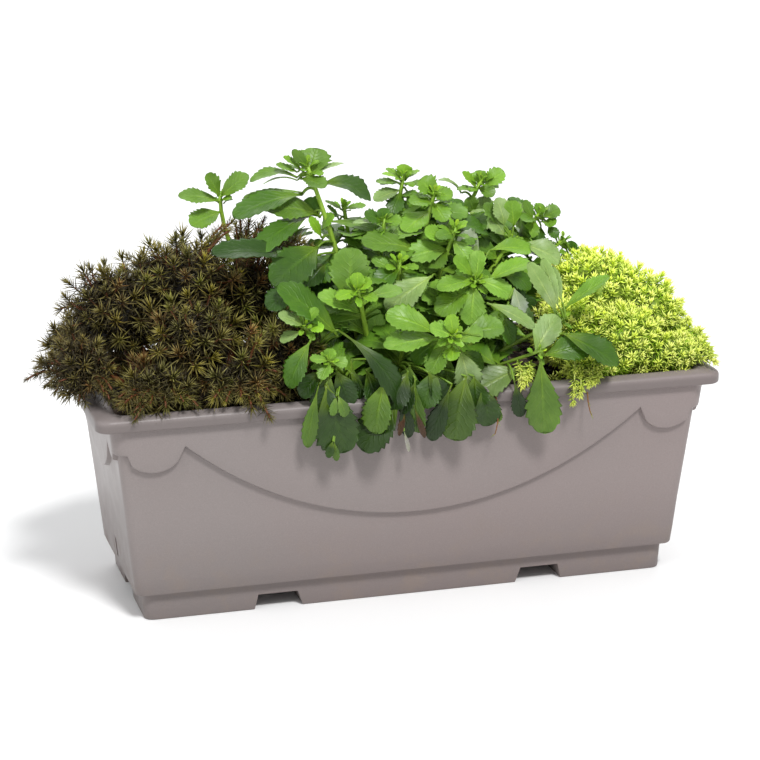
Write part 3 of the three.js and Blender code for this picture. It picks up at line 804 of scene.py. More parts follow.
# Each cushion: its centre, its half-sizes, and where its stem leaves the compost.
BRONZE_HEADS = [
    ((-130, 2, 199), (45, 44, 35), (-124, 0)), ((-175, -10, 185), (39, 38, 40), (-140, -6)),
    ((-94, -4, 186), (35, 34, 40), (-108, -4)), ((-134, -40, 176), (38, 33, 34), (-128, -16)),
    ((-128, 46, 176), (38, 33, 36), (-126, 18)), ((-199, -34, 160), (30, 31, 31), (-150, -18)),
    ((-195, 30, 156), (29, 32, 28), (-150, 16)), ((-156, -55, 150), (34, 26, 26), (-140, -28)),
    ((-108, -55, 150), (32, 26, 26), (-116, -30)), ((-80, -42, 157), (34, 33, 37), (-98, -22)),
    ((-154, 66, 152), (34, 25, 26), (-140, 28)), ((-98, 62, 154), (34, 27, 28), (-110, 28)),
]
LIME_HEADS = [
    ((141, 4, 170), (37, 36, 34), (130, 0)), ((172, -8, 160), (29, 30, 28), (146, -6)),
    ((112, -34, 158), (26, 26, 26), (116, -14)), ((144, -46, 152), (28, 27, 27), (134, -20)),
    ((142, 46, 154), (32, 28, 28), (130, 20)), ((192, -28, 143), (19, 26, 18), (156, -16)),
    ((189, 22, 143), (20, 28, 19), (156, 14)), ((172, -54, 144), (28, 20, 18), (148, -28)),
    ((122, -62, 141), (28, 15, 15), (122, -34)), ((178, 62, 144), (28, 20, 19), (148, 26)),
]
FRONT_LIME = 8                                   # the lime cushion whose shoots trail over the rim

# What the two kinds of cushion are made of. spacing lies between sprigs, whose tips start inset from the
# cushion's outline; origin is where their mound grows from; core and thatch are that far inside. A sprig
# has so many leaves on a shoot, and lean is how far its youngest leans out and how much more its oldest
# does, in degrees, and their jitter in radians. widths and bend are ranges, as shares of width and length.
BRONZE = {
    "spacing": 9.6, "inset": 8.0, "origin": (-132, -2, 134), "uprightness": 0.35, "jitter": 0.25,
    "skirt": {"ends": (-62.0, -166.0), "step": 9.0, "lift": 10.0},
    "core": 20.0, "thatch": {"depth": 19.0, "count": 1100, "length": (8.0, 13.0), "width": 1.3},
    "trunk": {"rise": 6.0, "radii": (2.6, 1.8)},
    "leaves": 40, "length": (7.5, 12.0), "width": 0.82, "shoot": 14.0, "lean": (6.0, 84.0, 0.16),
    "widths": (0.8, 1.2), "bend": (-0.25, 0.2), "rings": ((0, 0.8), (0.5, 1.0)),
    "olive": linear(166, 156, 44), "green": linear(118, 128, 28), "purple": linear(88, 64, 36),
    "rust": linear(160, 106, 48), "silver": linear(200, 190, 112), "old": linear(12, 9, 4),
    "straw": linear(60, 52, 24), "stem": linear(116, 66, 38),
}
LIME = {
    "spacing": 5.3, "inset": 3.5, "origin": (148, -4, 130), "uprightness": 0.55, "jitter": 0.2,
    "skirt": {"ends": (92.0, 168.0), "step": 5.0, "lift": 6.0},
    "core": 8.5, "thatch": {"depth": 9.0, "count": 900, "length": (3.0, 5.5), "width": 1.2},
    "trunk": {"rise": 4.0, "radii": (1.8, 1.2)},
    "leaves": 20, "length": (4.0, 6.2), "width": 1.35, "shoot": 8.5, "lean": (10.0, 76.0, 0.12),
    "widths": (0.85, 1.15), "bend": (0.0, 0.2), "rings": ((0, 0.6), (0.5, 1.0)),
    "bright": linear(247, 252, 140), "lime": linear(226, 244, 78), "green": linear(156, 206, 36),
    "old": linear(110, 136, 34), "straw": linear(156, 206, 36), "stem": linear(190, 200, 104),
    "dry": linear(120, 62, 40),
}
RIM_KEEP = {"x": 186.0, "y": 70.0, "z": 142.0}   # foliage below z stays inside the rim's inner edge
# A mound: directions tried from its origin, how near to it a point may lie, and how sharply cushions meet.
MOUND = {"rays": 36000, "nearest": 5, "merge": 12.0}
# Where mounds meet the rim: the front and back rows, the end rows' reach, the height, and how much
# further in the lower row stands.
SKIRT = {"y": 58.0, "end_y": 54.0, "z": 132.0, "inward": 4.0}


def centres_of(heads):
    return np.array([centre for centre, half, root in heads], float)


def mound_reach(centres, halves, origin, ray):
    """How far each ray from the origin runs before it leaves each cushion."""
    back = (np.asarray(origin, float) - centres)[None] / halves[None]
    way = ray[:, None] / halves[None]
    a, b, c = (way ** 2).sum(2), (way * back).sum(2), (back ** 2).sum(2) - 1
    inside = b ** 2 - a * c
    run = np.where(inside > 0, (-b + np.sqrt(np.maximum(inside, 0))) / a, 0)
    return np.maximum(run, 0)


def thinned(places, spacing):
    """Numbers of the places that stay when none may lie nearer than the spacing to one before it."""
    cells, chosen = {}, []
    for k, (x, y, z) in enumerate((places // spacing).astype(int).tolist()):
        around = itertools.product((x - 1, x, x + 1), (y - 1, y, y + 1), (z - 1, z, z + 1))
        near = [m for cell in around for m in cells.get(cell, ())]
        if all(((places[k] - places[m]) ** 2).sum() > spacing ** 2 for m in near):
            cells.setdefault((x, y, z), []).append(k)
            chosen.append(k)
    return chosen


def mound_points(heads, kind, rng):
    """Points over the outside of a mound of cushions that join smoothly: place, outward way and cushion."""
    ray = unit(rng.normal(size=(MOUND["rays"], 3)))
    ray[:, 2] = np.abs(ray[:, 2])
    centres, halves = centres_of(heads), np.array([half for centre, half, root in heads]) - kind["inset"]
    run = mound_reach(centres, halves, kind["origin"], ray)
    hit = run.max(1) > MOUND["nearest"]
    ray, run = ray[hit], run[hit]
    longest = run.max(1, keepdims=True)
    weight = (run / longest) ** MOUND["merge"]
    reach = longest[:, 0] * weight.sum(1) ** (1 / MOUND["merge"])
    places = np.asarray(kind["origin"]) + ray * reach[:, None]
    local = (places[:, None] - centres[None]) / halves[None] ** 2
    normals = unit((unit(local) * weight[..., None]).sum(1))
    owners = run.argmax(1)
    outside = (np.abs(places[:, 0]) > RIM_KEEP["x"]) | (np.abs(places[:, 1]) > RIM_KEEP["y"])
    keep = (places[:, 2] > SOIL["top"] + 3) & ~(outside & (places[:, 2] < RIM_KEEP["z"]))
    places, normals, owners = places[keep], normals[keep], owners[keep]
    chosen = thinned(places, kind["spacing"])
    return places[chosen], normals[chosen], owners[chosen]


def skirt(heads, kind, rng):
    """Points just inside the rim, where a mound meets its front, end and back: place, way and cushion."""
    (inner, outer), step, lift = kind["skirt"].values()
    turn = math.copysign(1.0, outer)
    y = np.arange(-SKIRT["end_y"], SKIRT["end_y"] + 1, step)
    x = np.arange(min(abs(inner), abs(outer)), max(abs(inner), abs(outer)), step) * turn
    places = [(outer, v, 0) for v in y] + [(v, -SKIRT["y"], 0) for v in x] + [(v, SKIRT["y"], 0) for v in x]
    normals = np.array([(turn, 0, 0)] * len(y) + [(0, -1, 0)] * len(x) + [(0, 1, 0)] * len(x), float)
    low = np.array(places) + (0, 0, SKIRT["z"]) - normals * SKIRT["inward"]
    high = np.array(places) + (0, 0, SKIRT["z"] + lift)
    found = np.concatenate([low, high])
    found = found + rng.uniform(-0.35, 0.35, found.shape) * step
    axes = unit(np.concatenate([normals, normals]) * 0.7 + Z * 0.8 + rng.normal(0, 0.25, found.shape))
    away = (found[:, None] - centres_of(heads)[None]) * (1, 1, 0.4)
    owners = np.argmin((away ** 2).sum(2), 1)
    return found, axes, owners


def mound(heads, kind, rng, depth):
    """Where all of a mound's sprigs stand: tips, axes and cushions. depth() says how far each stands out."""
    places, normals, owners = mound_points(heads, kind, rng)
    axes = unit(normals + Z * kind["uprightness"] + rng.normal(0, kind["jitter"], places.shape))
    places = places + normals * depth(len(places))
    edge = skirt(heads, kind, rng)
    return (np.concatenate(pair) for pair in zip((places, axes, owners), edge))


def core(shape, centre, half, tint, rng):
    """The old growth inside a cushion, a rough ball: its dark tone is partly old stems, partly painted shade
    among the sprigs.
    """
    rows, columns, rough, pole = 14, 22, 0.12, 0.02
    polar = np.linspace(pole, math.pi - pole, rows)
    turn = np.arange(columns) * 2 * math.pi / columns
    p, t = np.meshgrid(polar, turn, indexing="ij")
    ball = np.stack([np.sin(p) * np.cos(t), np.sin(p) * np.sin(t), np.cos(p)], -1).reshape(-1, 3)
    size = 1 + rough * rng.uniform(-1, 1, (len(ball), 1))
    points = centre + ball * half * size
    points[:, 2] = np.maximum(points[:, 2], SOIL["top"] + 1)
    tone = np.asarray(tint) * rng.uniform(0.5, 1.3, (len(ball), 1))
    shape.add(points, [faces[:, ::-1] for faces in closed(rows, columns)], tone)


def thatch(shape, centre, half, kind, rng):
    """Short old leaves that stand at all angles on the inside of a cushion."""
    depth, count, length, width = kind["thatch"].values()
    ball = unit(rng.normal(size=(count, 3)))
    base = centre + ball * (half - depth)
    keep = base[:, 2] > SOIL["top"]
    ball, base = ball[keep], base[keep]
    along = unit(ball + 0.9 * rng.normal(size=ball.shape))
    tint = np.asarray(kind["straw"]) * rng.uniform(0.5, 1.6, (len(ball), 1))
    lengths = rng.uniform(*length, len(ball))
    flat = np.zeros(len(ball))
    spikes(shape, base, along, ball, lengths, flat + width, flat, ((0, 1.0),), tint * 0.5, tint)


def heart(shape, head, kind, rng):
    """What carries a cushion's sprigs: old growth, thatch over it, and a woody stem from the compost."""
    centre, half, root = (np.array(part, float) for part in head)
    core(shape, centre, half - kind["core"], kind["old"], rng)
    thatch(shape, centre, half, kind, rng)
    start = np.array([*root, SOIL["top"] - 2.0])
    path = curve([start, (start + centre) / 2 + (0, 0, kind["trunk"]["rise"]), centre], 6)
    tube(shape, path, np.linspace(*kind["trunk"]["radii"], 6), kind["stem"])


def sprig_leaves(kind, axes, rng):
    """For each leaf of each sprig: its share of the way down, its sprig's axis, and its own direction."""
    number = np.arange(kind["leaves"])[None]
    size = len(axes), kind["leaves"]
    f = (number + rng.uniform(0, 1, size)) / kind["leaves"]
    turn = number * GOLDEN + rng.uniform(0, 2 * math.pi, (len(axes), 1))
    axis = np.broadcast_to(axes[:, None], (*size, 3))
    young, more, jitter = kind["lean"]
    lean = np.radians(young + more * f ** 0.7) + rng.normal(0, jitter, size)
    along = unit(axis * np.cos(lean)[..., None] + across_from(axis, turn) * np.sin(lean)[..., None])
    return f, axis, along


def add_sprigs(shape, kind, base, axis, along, size, length, tone, tip, rng):
    """The leaves of many sprigs, as spikes that run from one tone to the other."""
    base, along, axis, tone, tip = (
        np.broadcast_to(part, (*length.shape, 3)).reshape(-1, 3) for part in (base, along, axis, tone, tip))
    width = kind["width"] * size * rng.uniform(*kind["widths"], length.shape)
    bend = rng.uniform(*kind["bend"], length.size)
    spikes(shape, base, along, axis, length.ravel(), width.ravel(), bend, kind["rings"], tone, tip)


def bronze_sprigs(shape, tips, axes, rng, scale=1.0):
    """Star-shaped tips of needle leaves, which go on down the shoot below."""
    f, axis, along = sprig_leaves(BRONZE, axes, rng)
    m, k = f.shape
    base = tips[:, None] - axis * (BRONZE["shoot"] * f ** 1.5 * scale)[..., None]
    size = rng.uniform(0.65, 1.2, (m, 1)) * scale
    length = size * rng.uniform(*BRONZE["length"], (m, k)) * (0.55 + 0.45 * np.minimum(f * 2.5, 1))
    # A tip is olive, green or rusty, and goes over to purple on the left.
    hue = rng.uniform(0, 1, (m, 1, 1))
    left = np.clip((-tips[:, :1] - 120) / 90, 0, 1)[..., None]
    young = np.where(hue < 0.46, BRONZE["olive"], np.where(hue < 0.86, BRONZE["green"], BRONZE["rust"]))
    young = blend(young, BRONZE["purple"], 0.78 * left)
    old = blend(BRONZE["purple"], BRONZE["green"], 0.35 * rng.uniform(0, 1, (m, 1, 1)))
    tone = blend(young, old, np.clip(f * 1.25, 0, 1)[..., None])
    tone = tone * rng.uniform(0.3, 1.3, (m, k, 1)) * rng.uniform(0.4, 1.3, (m, 1, 1))
    # Painted shade: sprigs are darker low down and beside the green plant, where they lie in shade; the
    # needles are darker down the shoot.
    shade = np.interp(tips[:, 2], (135, 172), (0.68, 1.0)) * np.interp(tips[:, 0], (-100, -60), (1.0, 0.7))
    dark = (1 - 0.75 * np.clip(f - 0.45, 0, 1) / 0.55)[..., None] * shade[:, None, None]
    # The silver tips are partly the needles' waxy bloom, partly painted highlight.
    bloom_and_highlight = 0.9 * rng.uniform(0, 1, (m, k, 1)) ** 1.3
    tip = blend(tone, BRONZE["silver"], bloom_and_highlight * (1 - 0.25 * left))
    add_sprigs(shape, BRONZE, base, axis, along, size, length, tone * dark, tip * dark, rng)


# Sprigs that stray out of the mound: pixel of the tip, and y of the tip.
BRONZE_STRAYS = [
    # the left edge
    ((26, 380), -20), ((36, 368), -16), ((46, 386), -26), ((56, 391), -30), ((79, 401), -46), ((48, 372), -8),
    ((60, 309), -6),
    # the fringe over the rim
    ((134, 413), -78), ((241, 397), -80), ((262, 401), -82), ((270, 418), -82), ((214, 398), -78),
    ((124, 404), -76), ((150, 404), -76), ((166, 408), -78), ((184, 402), -76), ((198, 406), -78),
    ((226, 402), -78), ((252, 408), -80), ((142, 398), -72), ((176, 396), -72),
    # the top, beside the green plant
    ((240, 217), 8), ((249, 223), 2), ((264, 219), 6), ((232, 222), 14), ((222, 226), 6), ((258, 228), -6),
    ((284, 240), 0), ((298, 241), 4), ((236, 226), 0), ((246, 230), -4), ((254, 234), -8), ((262, 233), -4),
    ((270, 236), -8), ((229, 231), -6), ((276, 241), -10), ((290, 246), -6), ((286, 238), -6),
    ((294, 240), -2), ((302, 243), 0), ((310, 247), 2), ((300, 250), -4),
    # the rim's left corner
    ((104, 392), -62), ((110, 400), -66), ((116, 406), -68), ((100, 384), -56), ((112, 390), -64),
    ((118, 398), -68), ((135, 420), -80),
    # the right edge, under the green leaves
    ((252, 330), -70), ((262, 334), -72), ((272, 328), -70), ((258, 342), -74), ((278, 372), -66),
    ((286, 396), -70), ((296, 352), -50), ((290, 330), -42), ((300, 380), -64), ((310, 398), -66),
    ((270, 392), -72),
]
STRAY_SCALE = {"far": 0.74, "near": 0.8, "x": -188.0}    # strays left of x are the smaller ones


def bronze_shoot(shape, centre, tip, axis):
    """The thin stem of one sprig, from inside its cushion."""
    foot = centre + (tip - centre) * 0.35
    route = curve([foot, tip - axis * 15, tip - axis * 4], 4)
    tube(shape, route, np.array([0.8, 0.7, 0.6, 0.4]), BRONZE["stem"], 4)


def bronze_stray(shape, centre, tip, rng):
    """A longer shoot that strays out of the mound, with a sprig on its tip and one below."""
    foot = centre + (tip - centre) * 0.4
    route = curve([foot, (foot + tip) / 2 + (0, 0, 5), tip], 7)
    tube(shape, route, np.linspace(1.1, 0.6, 7), BRONZE["stem"], 5)
    heading = unit(route[-1] - route[-3])
    scale = STRAY_SCALE["far" if tip[0] < STRAY_SCALE["x"] else "near"]
    bronze_sprigs(shape, np.array([tip, route[4]]), np.array([heading, heading]), rng, scale)


def make_bronze(material):
    rng = np.random.default_rng(5)
    tips, axes, owners = mound(BRONZE_HEADS, BRONZE, rng, lambda count: rng.uniform(-6.0, 4.5, (count, 1)))
    centres = centres_of(BRONZE_HEADS)
    strays = np.array([at_depth(p, y) for p, y in BRONZE_STRAYS])
    stray_owners = np.argmin(((strays[:, None] - centres[None]) ** 2).sum(2), 1)
    for i, head in enumerate(BRONZE_HEADS):
        shape = Shape()
        heart(shape, head, BRONZE, rng)
        mine = owners == i
        for tip, axis in zip(tips[mine], axes[mine]):
            bronze_shoot(shape, centres[i], tip, axis)
        bronze_sprigs(shape, tips[mine], axes[mine], rng)
        for tip in strays[stray_owners == i]:
            bronze_stray(shape, centres[i], tip, rng)
        shape.piece(f"bronze_sprigs_{i + 1:02d}", f"bronze_shoot_{i + 1:02d}", material)


def lime_sprigs(shape, tips, axes, rng, scale=1.0):
    """Short sprigs of small leaves, bright at the tip and greener below."""
    f, axis, along = sprig_leaves(LIME, axes, rng)
    m, k = f.shape
    size = rng.uniform(0.8, 1.2, (m, 1)) * scale
    base = tips[:, None] - axis * (LIME["shoot"] * f ** 1.4)[..., None] * size[..., None]
    length = size * rng.uniform(*LIME["length"], (m, k)) * (0.6 + 0.4 * np.minimum(f * 3, 1))
    young = blend(LIME["bright"], LIME["lime"], rng.uniform(0, 1, (m, 1, 1)))
    tone = blend(young, LIME["green"], np.clip(f * 1.1 - 0.2, 0, 1)[..., None])
    tone = tone * rng.uniform(0.9, 1.2, (m, k, 1))
    # Painted light and shade: sprigs are lighter high on the mound and darker low down.
    tone = tone * np.interp(tips[:, 2], (138, 185), (0.84, 1.28))[:, None, None]
    dark = (1 - 0.45 * np.clip(f - 0.5, 0, 1) / 0.5)[..., None]
    tip = blend(tone, LIME["bright"], 0.3) * dark
    add_sprigs(shape, LIME, base, axis, along, size, length, tone * dark * 0.8, tip, rng)


# Thin shoots that trail over the rim: pixels from the edge of the mound to the tip, and y of each.
LIME_TRAILS = [
    ([(574, 356), (576, 370), (574, 386), (573, 403)], (-64, -79, -82, -83)),
    ([(579, 362), (582, 376), (581, 388), (580, 396)], (-66, -79, -82, -83)),
    ([(588, 366), (591, 374), (590, 380), (588, 386)], (-66, -77, -80, -81)),
    ([(598, 364), (600, 372), (597, 379), (594, 383)], (-66, -75, -79, -80)),
    ([(517, 362), (520, 368), (522, 376), (522, 386)], (-68, -75, -79, -80)),
    ([(529, 362), (531, 368), (529, 376), (526, 382)], (-68, -74, -78, -79)),
    ([(700, 350), (705, 352), (710, 356), (715, 362)], (-58, -64, -70, -74)),
    ([(698, 344), (703, 343), (707, 346), (711, 351)], (-52, -56, -60, -64)),
]
DRY_TRAILS = [
    ([(586, 378), (588, 392), (587, 404), (591, 414)], (-68, -79, -82, -83)),
    ([(492, 388), (499, 402), (500, 418), (495, 434)], (-74, -80, -83, -84)),
]


def trail(shape, row, steps, radii, tint):
    """The stem of a trailing shoot, and its direction all along."""
    route = curve([at_depth(pixel, y) for pixel, y in zip(*row)], steps)
    tube(shape, route, np.linspace(*radii, steps), tint, 5)
    return route, unit(np.gradient(route, axis=0))


def lime_trails(shape, rng):
    """The trailing shoots, with sprigs on the living ones and a few dry leaves on the others."""
    for row in LIME_TRAILS:
        route, heading = trail(shape, row, 7, (0.6, 0.4), LIME["stem"])
        sprigs = [2, 4, 5, 6]
        lime_sprigs(shape, route[sprigs], unit(heading[sprigs] + FORWARD * -0.6), rng, 0.95)
    for row in DRY_TRAILS:
        route, heading = trail(shape, row, 9, (0.6, 0.35), LIME["dry"])
        base, axis = route[-4:], heading[-4:]
        along = unit(axis + rng.normal(0, 0.5, axis.shape))
        length, width, bend = np.full(4, 4.0), np.full(4, 0.9), np.zeros(4)
        dry, green = np.tile(LIME["dry"], (4, 1)), np.tile(LIME["green"], (4, 1))
        spikes(shape, base, along, axis, length, width, bend, ((0, 1.0),), dry, green)


def make_lime(material):
    rng = np.random.default_rng(8)

    def depth(count):
        return rng.uniform(-3.0, 2.0, (count, 1)) + rng.normal(0, 1.2, (count, 1))

    tips, axes, owners = mound(LIME_HEADS, LIME, rng, depth)
    for i, head in enumerate(LIME_HEADS):
        shape = Shape()
        heart(shape, head, LIME, rng)
        lime_sprigs(shape, tips[owners == i], axes[owners == i], rng)
        if i == FRONT_LIME:
            lime_trails(shape, rng)
        shape.piece(f"lime_sprigs_{i + 1:02d}", f"lime_shoot_{i + 1:02d}", material)


# ---------- the green stonecrop ----------

# Lit and shaded copies of the leaves' greens are among these: "light" is painted light, "dark" and the tone
# that follows "deep" are painted shade, "deep" is partly the leaves' own deep green and partly painted shade,
# and "silver" is partly waxy bloom and partly painted highlight.
TONES = {
    "mid": linear(110, 152, 40), "deep": linear(68, 108, 16), "shaded": linear(55, 89, 15),
    "dark": linear(44, 76, 12), "silver": linear(136, 164, 92), "young": linear(128, 174, 40),
    "centre": linear(168, 204, 46), "light": linear(122, 164, 58), "under": linear(120, 150, 70),
    "stem": linear(140, 170, 66), "dull": linear(94, 130, 38), "pale": linear(176, 190, 160),
    "bare": linear(236, 230, 218), "dry": linear(110, 74, 40),
}


class LeafPlan:
    """The faces and outline that leaves share: a top and an underside that meet along the toothed margin.

    teeth on each side, rows of vertices to a tooth, rows below the teeth, and faces across. wide_at is
    where the leaf is widest, slim how slender it is towards its base, and tooth how deep its teeth are."""

    def __init__(self, teeth, per_tooth, lower, across, wide_at=0.62, slim=0.7, tooth=0.17):
        start, end = 0.36, 0.985                 # where the teeth begin and end
        phases = {2: (0.0, 0.75), 3: (0.0, 0.45, 0.82)}[per_tooth]
        steps = np.array([number + phase for number in range(teeth) for phase in phases] + [teeth])
        rises = np.array([phase / phases[-1] for phase in phases] * teeth + [0.0])
        toothed = start + (end - start) * steps / teeth
        self.t = np.concatenate([np.linspace(0, start, lower + 1)[:-1], toothed])
        self.u = np.sin(np.linspace(-1, 1, across + 1) * math.pi / 2)
        rises = np.concatenate([np.full(lower, 0.5), rises])
        lower_part = np.clip(self.t / wide_at, 0, 1)
        upper_part = np.clip((self.t - wide_at) / (1 - wide_at), 0, 1)
        plain = (lower_part ** 2 * (3 - 2 * lower_part)) ** slim * (1 - upper_part ** 2.2) ** 0.6
        notch = tooth * (rises - 0.5) * np.clip((self.t - start) / 0.12, 0, 1)
        self.half = np.maximum(plain * (1 + notch), 0.075)
        self.join(len(self.t), len(self.u))

    def join(self, rows, columns):
        """The faces: the top's vertices come first, row by row, then the tip and the keel."""
        tip, keel = rows * columns, rows * columns + 1 + np.arange(rows)
        left = np.arange(rows - 1) * columns
        right = left + columns - 1
        under = np.concatenate([np.stack([left, left + columns, keel[1:], keel[:-1]], 1),
                                np.stack([keel[:-1], keel[1:], right + columns, right], 1)])
        last = (rows - 1) * columns
        ends = [[tip, last + j, last + j + 1] for j in range(columns - 1)]
        ends += [[last, keel[-1], tip], [keel[-1], last + columns - 1, tip]]
        self.quads = np.concatenate([strips(rows, columns)[:, ::-1], under[:, ::-1]])
        self.triangles = np.array(ends)
        self.cap = np.array([[*range(columns), keel[0]]])


LARGE = LeafPlan(6, 3, 5, 6)
SPOON = LeafPlan(6, 3, 5, 6, wide_at=0.68, slim=1.2)
MEDIUM = LeafPlan(4, 3, 4, 6, tooth=0.24)
SMALL = LeafPlan(3, 2, 3, 4, wide_at=0.66, tooth=0.3)


def leaf_points(plan, base, tip, facing, width, rng, arch, fold, twist, wave):
    """A leaf's vertices: it arches along its length, folds up at the midrib, twists and ripples."""
    length = np.linalg.norm(tip - base)
    along = (tip - base) / length
    normal = unit(facing - along * (facing @ along))
    t, u = plan.t[:, None], plan.u[None]
    centre = base + (tip - base) * t + normal * (arch * length * 4 * t * (1 - t) * 0.6)
    tangent = unit(np.gradient(centre, plan.t, axis=0))
    side = unit(np.cross(tangent, normal))
    lift = np.cross(side, tangent)
    turn = twist * (t - 0.3)
    side, lift = side * np.cos(turn) + lift * np.sin(turn), lift * np.cos(turn) - side * np.sin(turn)
    half = plan.half[:, None] * width / 2
    skew = 1 + 0.05 * rng.normal()
    across = u * half * np.where(u > 0, skew, 2 - skew)
    phase = 2 * math.pi * (2.1 * t + 0.25 * np.sign(u)) + rng.uniform(0, 6.28)
    ripple = wave * np.sin(phase) * np.abs(u) ** 1.2 * half
    groove = (u == 0) * 0.012 * width
    rise = fold * np.abs(u) ** 1.12 * half * (1 - 0.55 * t) + ripple - groove
    top = centre[:, None] + side[:, None] * across[..., None] + lift[:, None] * rise[..., None]
    thick = 0.35 + 0.035 * width * (1 - t ** 2) + 0.5 * (1 - t) ** 4
    return np.concatenate([top.reshape(-1, 3), tip[None], centre - lift * thick])


def leaf_tints(plan, tone, rng):
    """A leaf's colours: paler at the base, with a light margin, and painted light and shade: one half lighter
    than the other and a random grade along it.
    """
    t, u = plan.t[:, None, None], plan.u[None, :, None]
    grade = np.clip((t - 0.02) / 0.4, 0, 1)
    # Painted light and shade: one half of the leaf is lighter than the other, and a random grade runs along
    # it.
    split, slope = rng.uniform(-0.16, 0.16), rng.uniform(-0.15, 0.4)
    upper = blend(blend(tone, TONES["centre"], 0.3), tone, grade) * (1 + split * u + slope * (t - 0.5))
    margin = 1 + 0.3 * (np.abs(u) > 0.9)
    lower = np.repeat(np.asarray(TONES["under"])[None], len(plan.t), 0)
    return np.concatenate([(upper * margin).reshape(-1, 3), tone[None], lower])


def leaf_places(plan):
    """Where each vertex lies on the leaf's map: across, and along."""
    top = np.stack(np.broadcast_arrays(plan.u[None] * 0.5 + 0.5, plan.t[:, None]), -1).reshape(-1, 2)
    return np.concatenate([top, [[0.5, 1.0]], np.column_stack([np.full(len(plan.t), 0.5), plan.t])])


def leaf(shape, plan, base, tip, facing, width, tone, rng, arch, fold, twist, wave=0.05):
    """One leaf from base to tip. facing is about where its upper side looks."""
    points = leaf_points(plan, base, tip, facing, width, rng, arch, fold, twist, wave)
    tints = leaf_tints(plan, np.asarray(tone), rng)
    shape.add(points, [plan.quads, plan.triangles, plan.cap], tints, leaf_places(plan))


# A head of leaves: the youngest one's length, width as a share of the length, how far the oldest leans
# out, in degrees, and how far down the stem it stands.
ROSETTE = {"inner": 4.5, "width": 0.5, "lean": 80.0, "drop": 7.0}


def rosette(shape, head, axis, count, longest, rng):
    """A head of leaves round an axis, youngest in the middle."""
    start = rng.uniform(0, 6.28)
    for k in range(count):
        f = k / max(count - 1, 1)
        turn = start + k * GOLDEN + rng.normal(0, 0.12)
        out = across_from(axis[None], np.array([turn]))[0]
        lean = math.radians(10 + (ROSETTE["lean"] - 10) * f ** 0.75) + rng.normal(0, 0.07)
        length = ROSETTE["inner"] + (longest - ROSETTE["inner"]) * f ** 1.1 * rng.uniform(0.85, 1.1)
        base = head - axis * (ROSETTE["drop"] * f ** 1.2) + out * 1.2
        tip = base + (axis * math.cos(lean) + out * math.sin(lean)) * length
        if f < 0.4:
            tone = blend(TONES["centre"], TONES["young"], f * 2.5)
        else:
            tone = blend(TONES["young"], TONES["mid"], (f - 0.4) / 0.6)
        plan = SMALL if length < 14 else MEDIUM if length < 26 else LARGE
        width = length * ROSETTE["width"] * rng.uniform(0.85, 1.12)
        tone = tone * rng.uniform(0.85, 1.15)
        arch, fold, twist = 0.10 + 0.10 * f, 0.35 - 0.2 * f, rng.normal(0, 0.15)
        leaf(shape, plan, base, tip, axis + Z * 0.15, width, tone, rng, arch, fold, twist)


# One leaf seen in the photograph: pixels of its base and tip, its width there, how far its tip lies in
# front of its base and its tone; then, where they matter, y of the base, how much of the upper side's
# direction is up, and how far it arches.
Seen = collections.namedtuple("Seen", "base tip width toward tone y up arch", defaults=(None, 0.75, None))

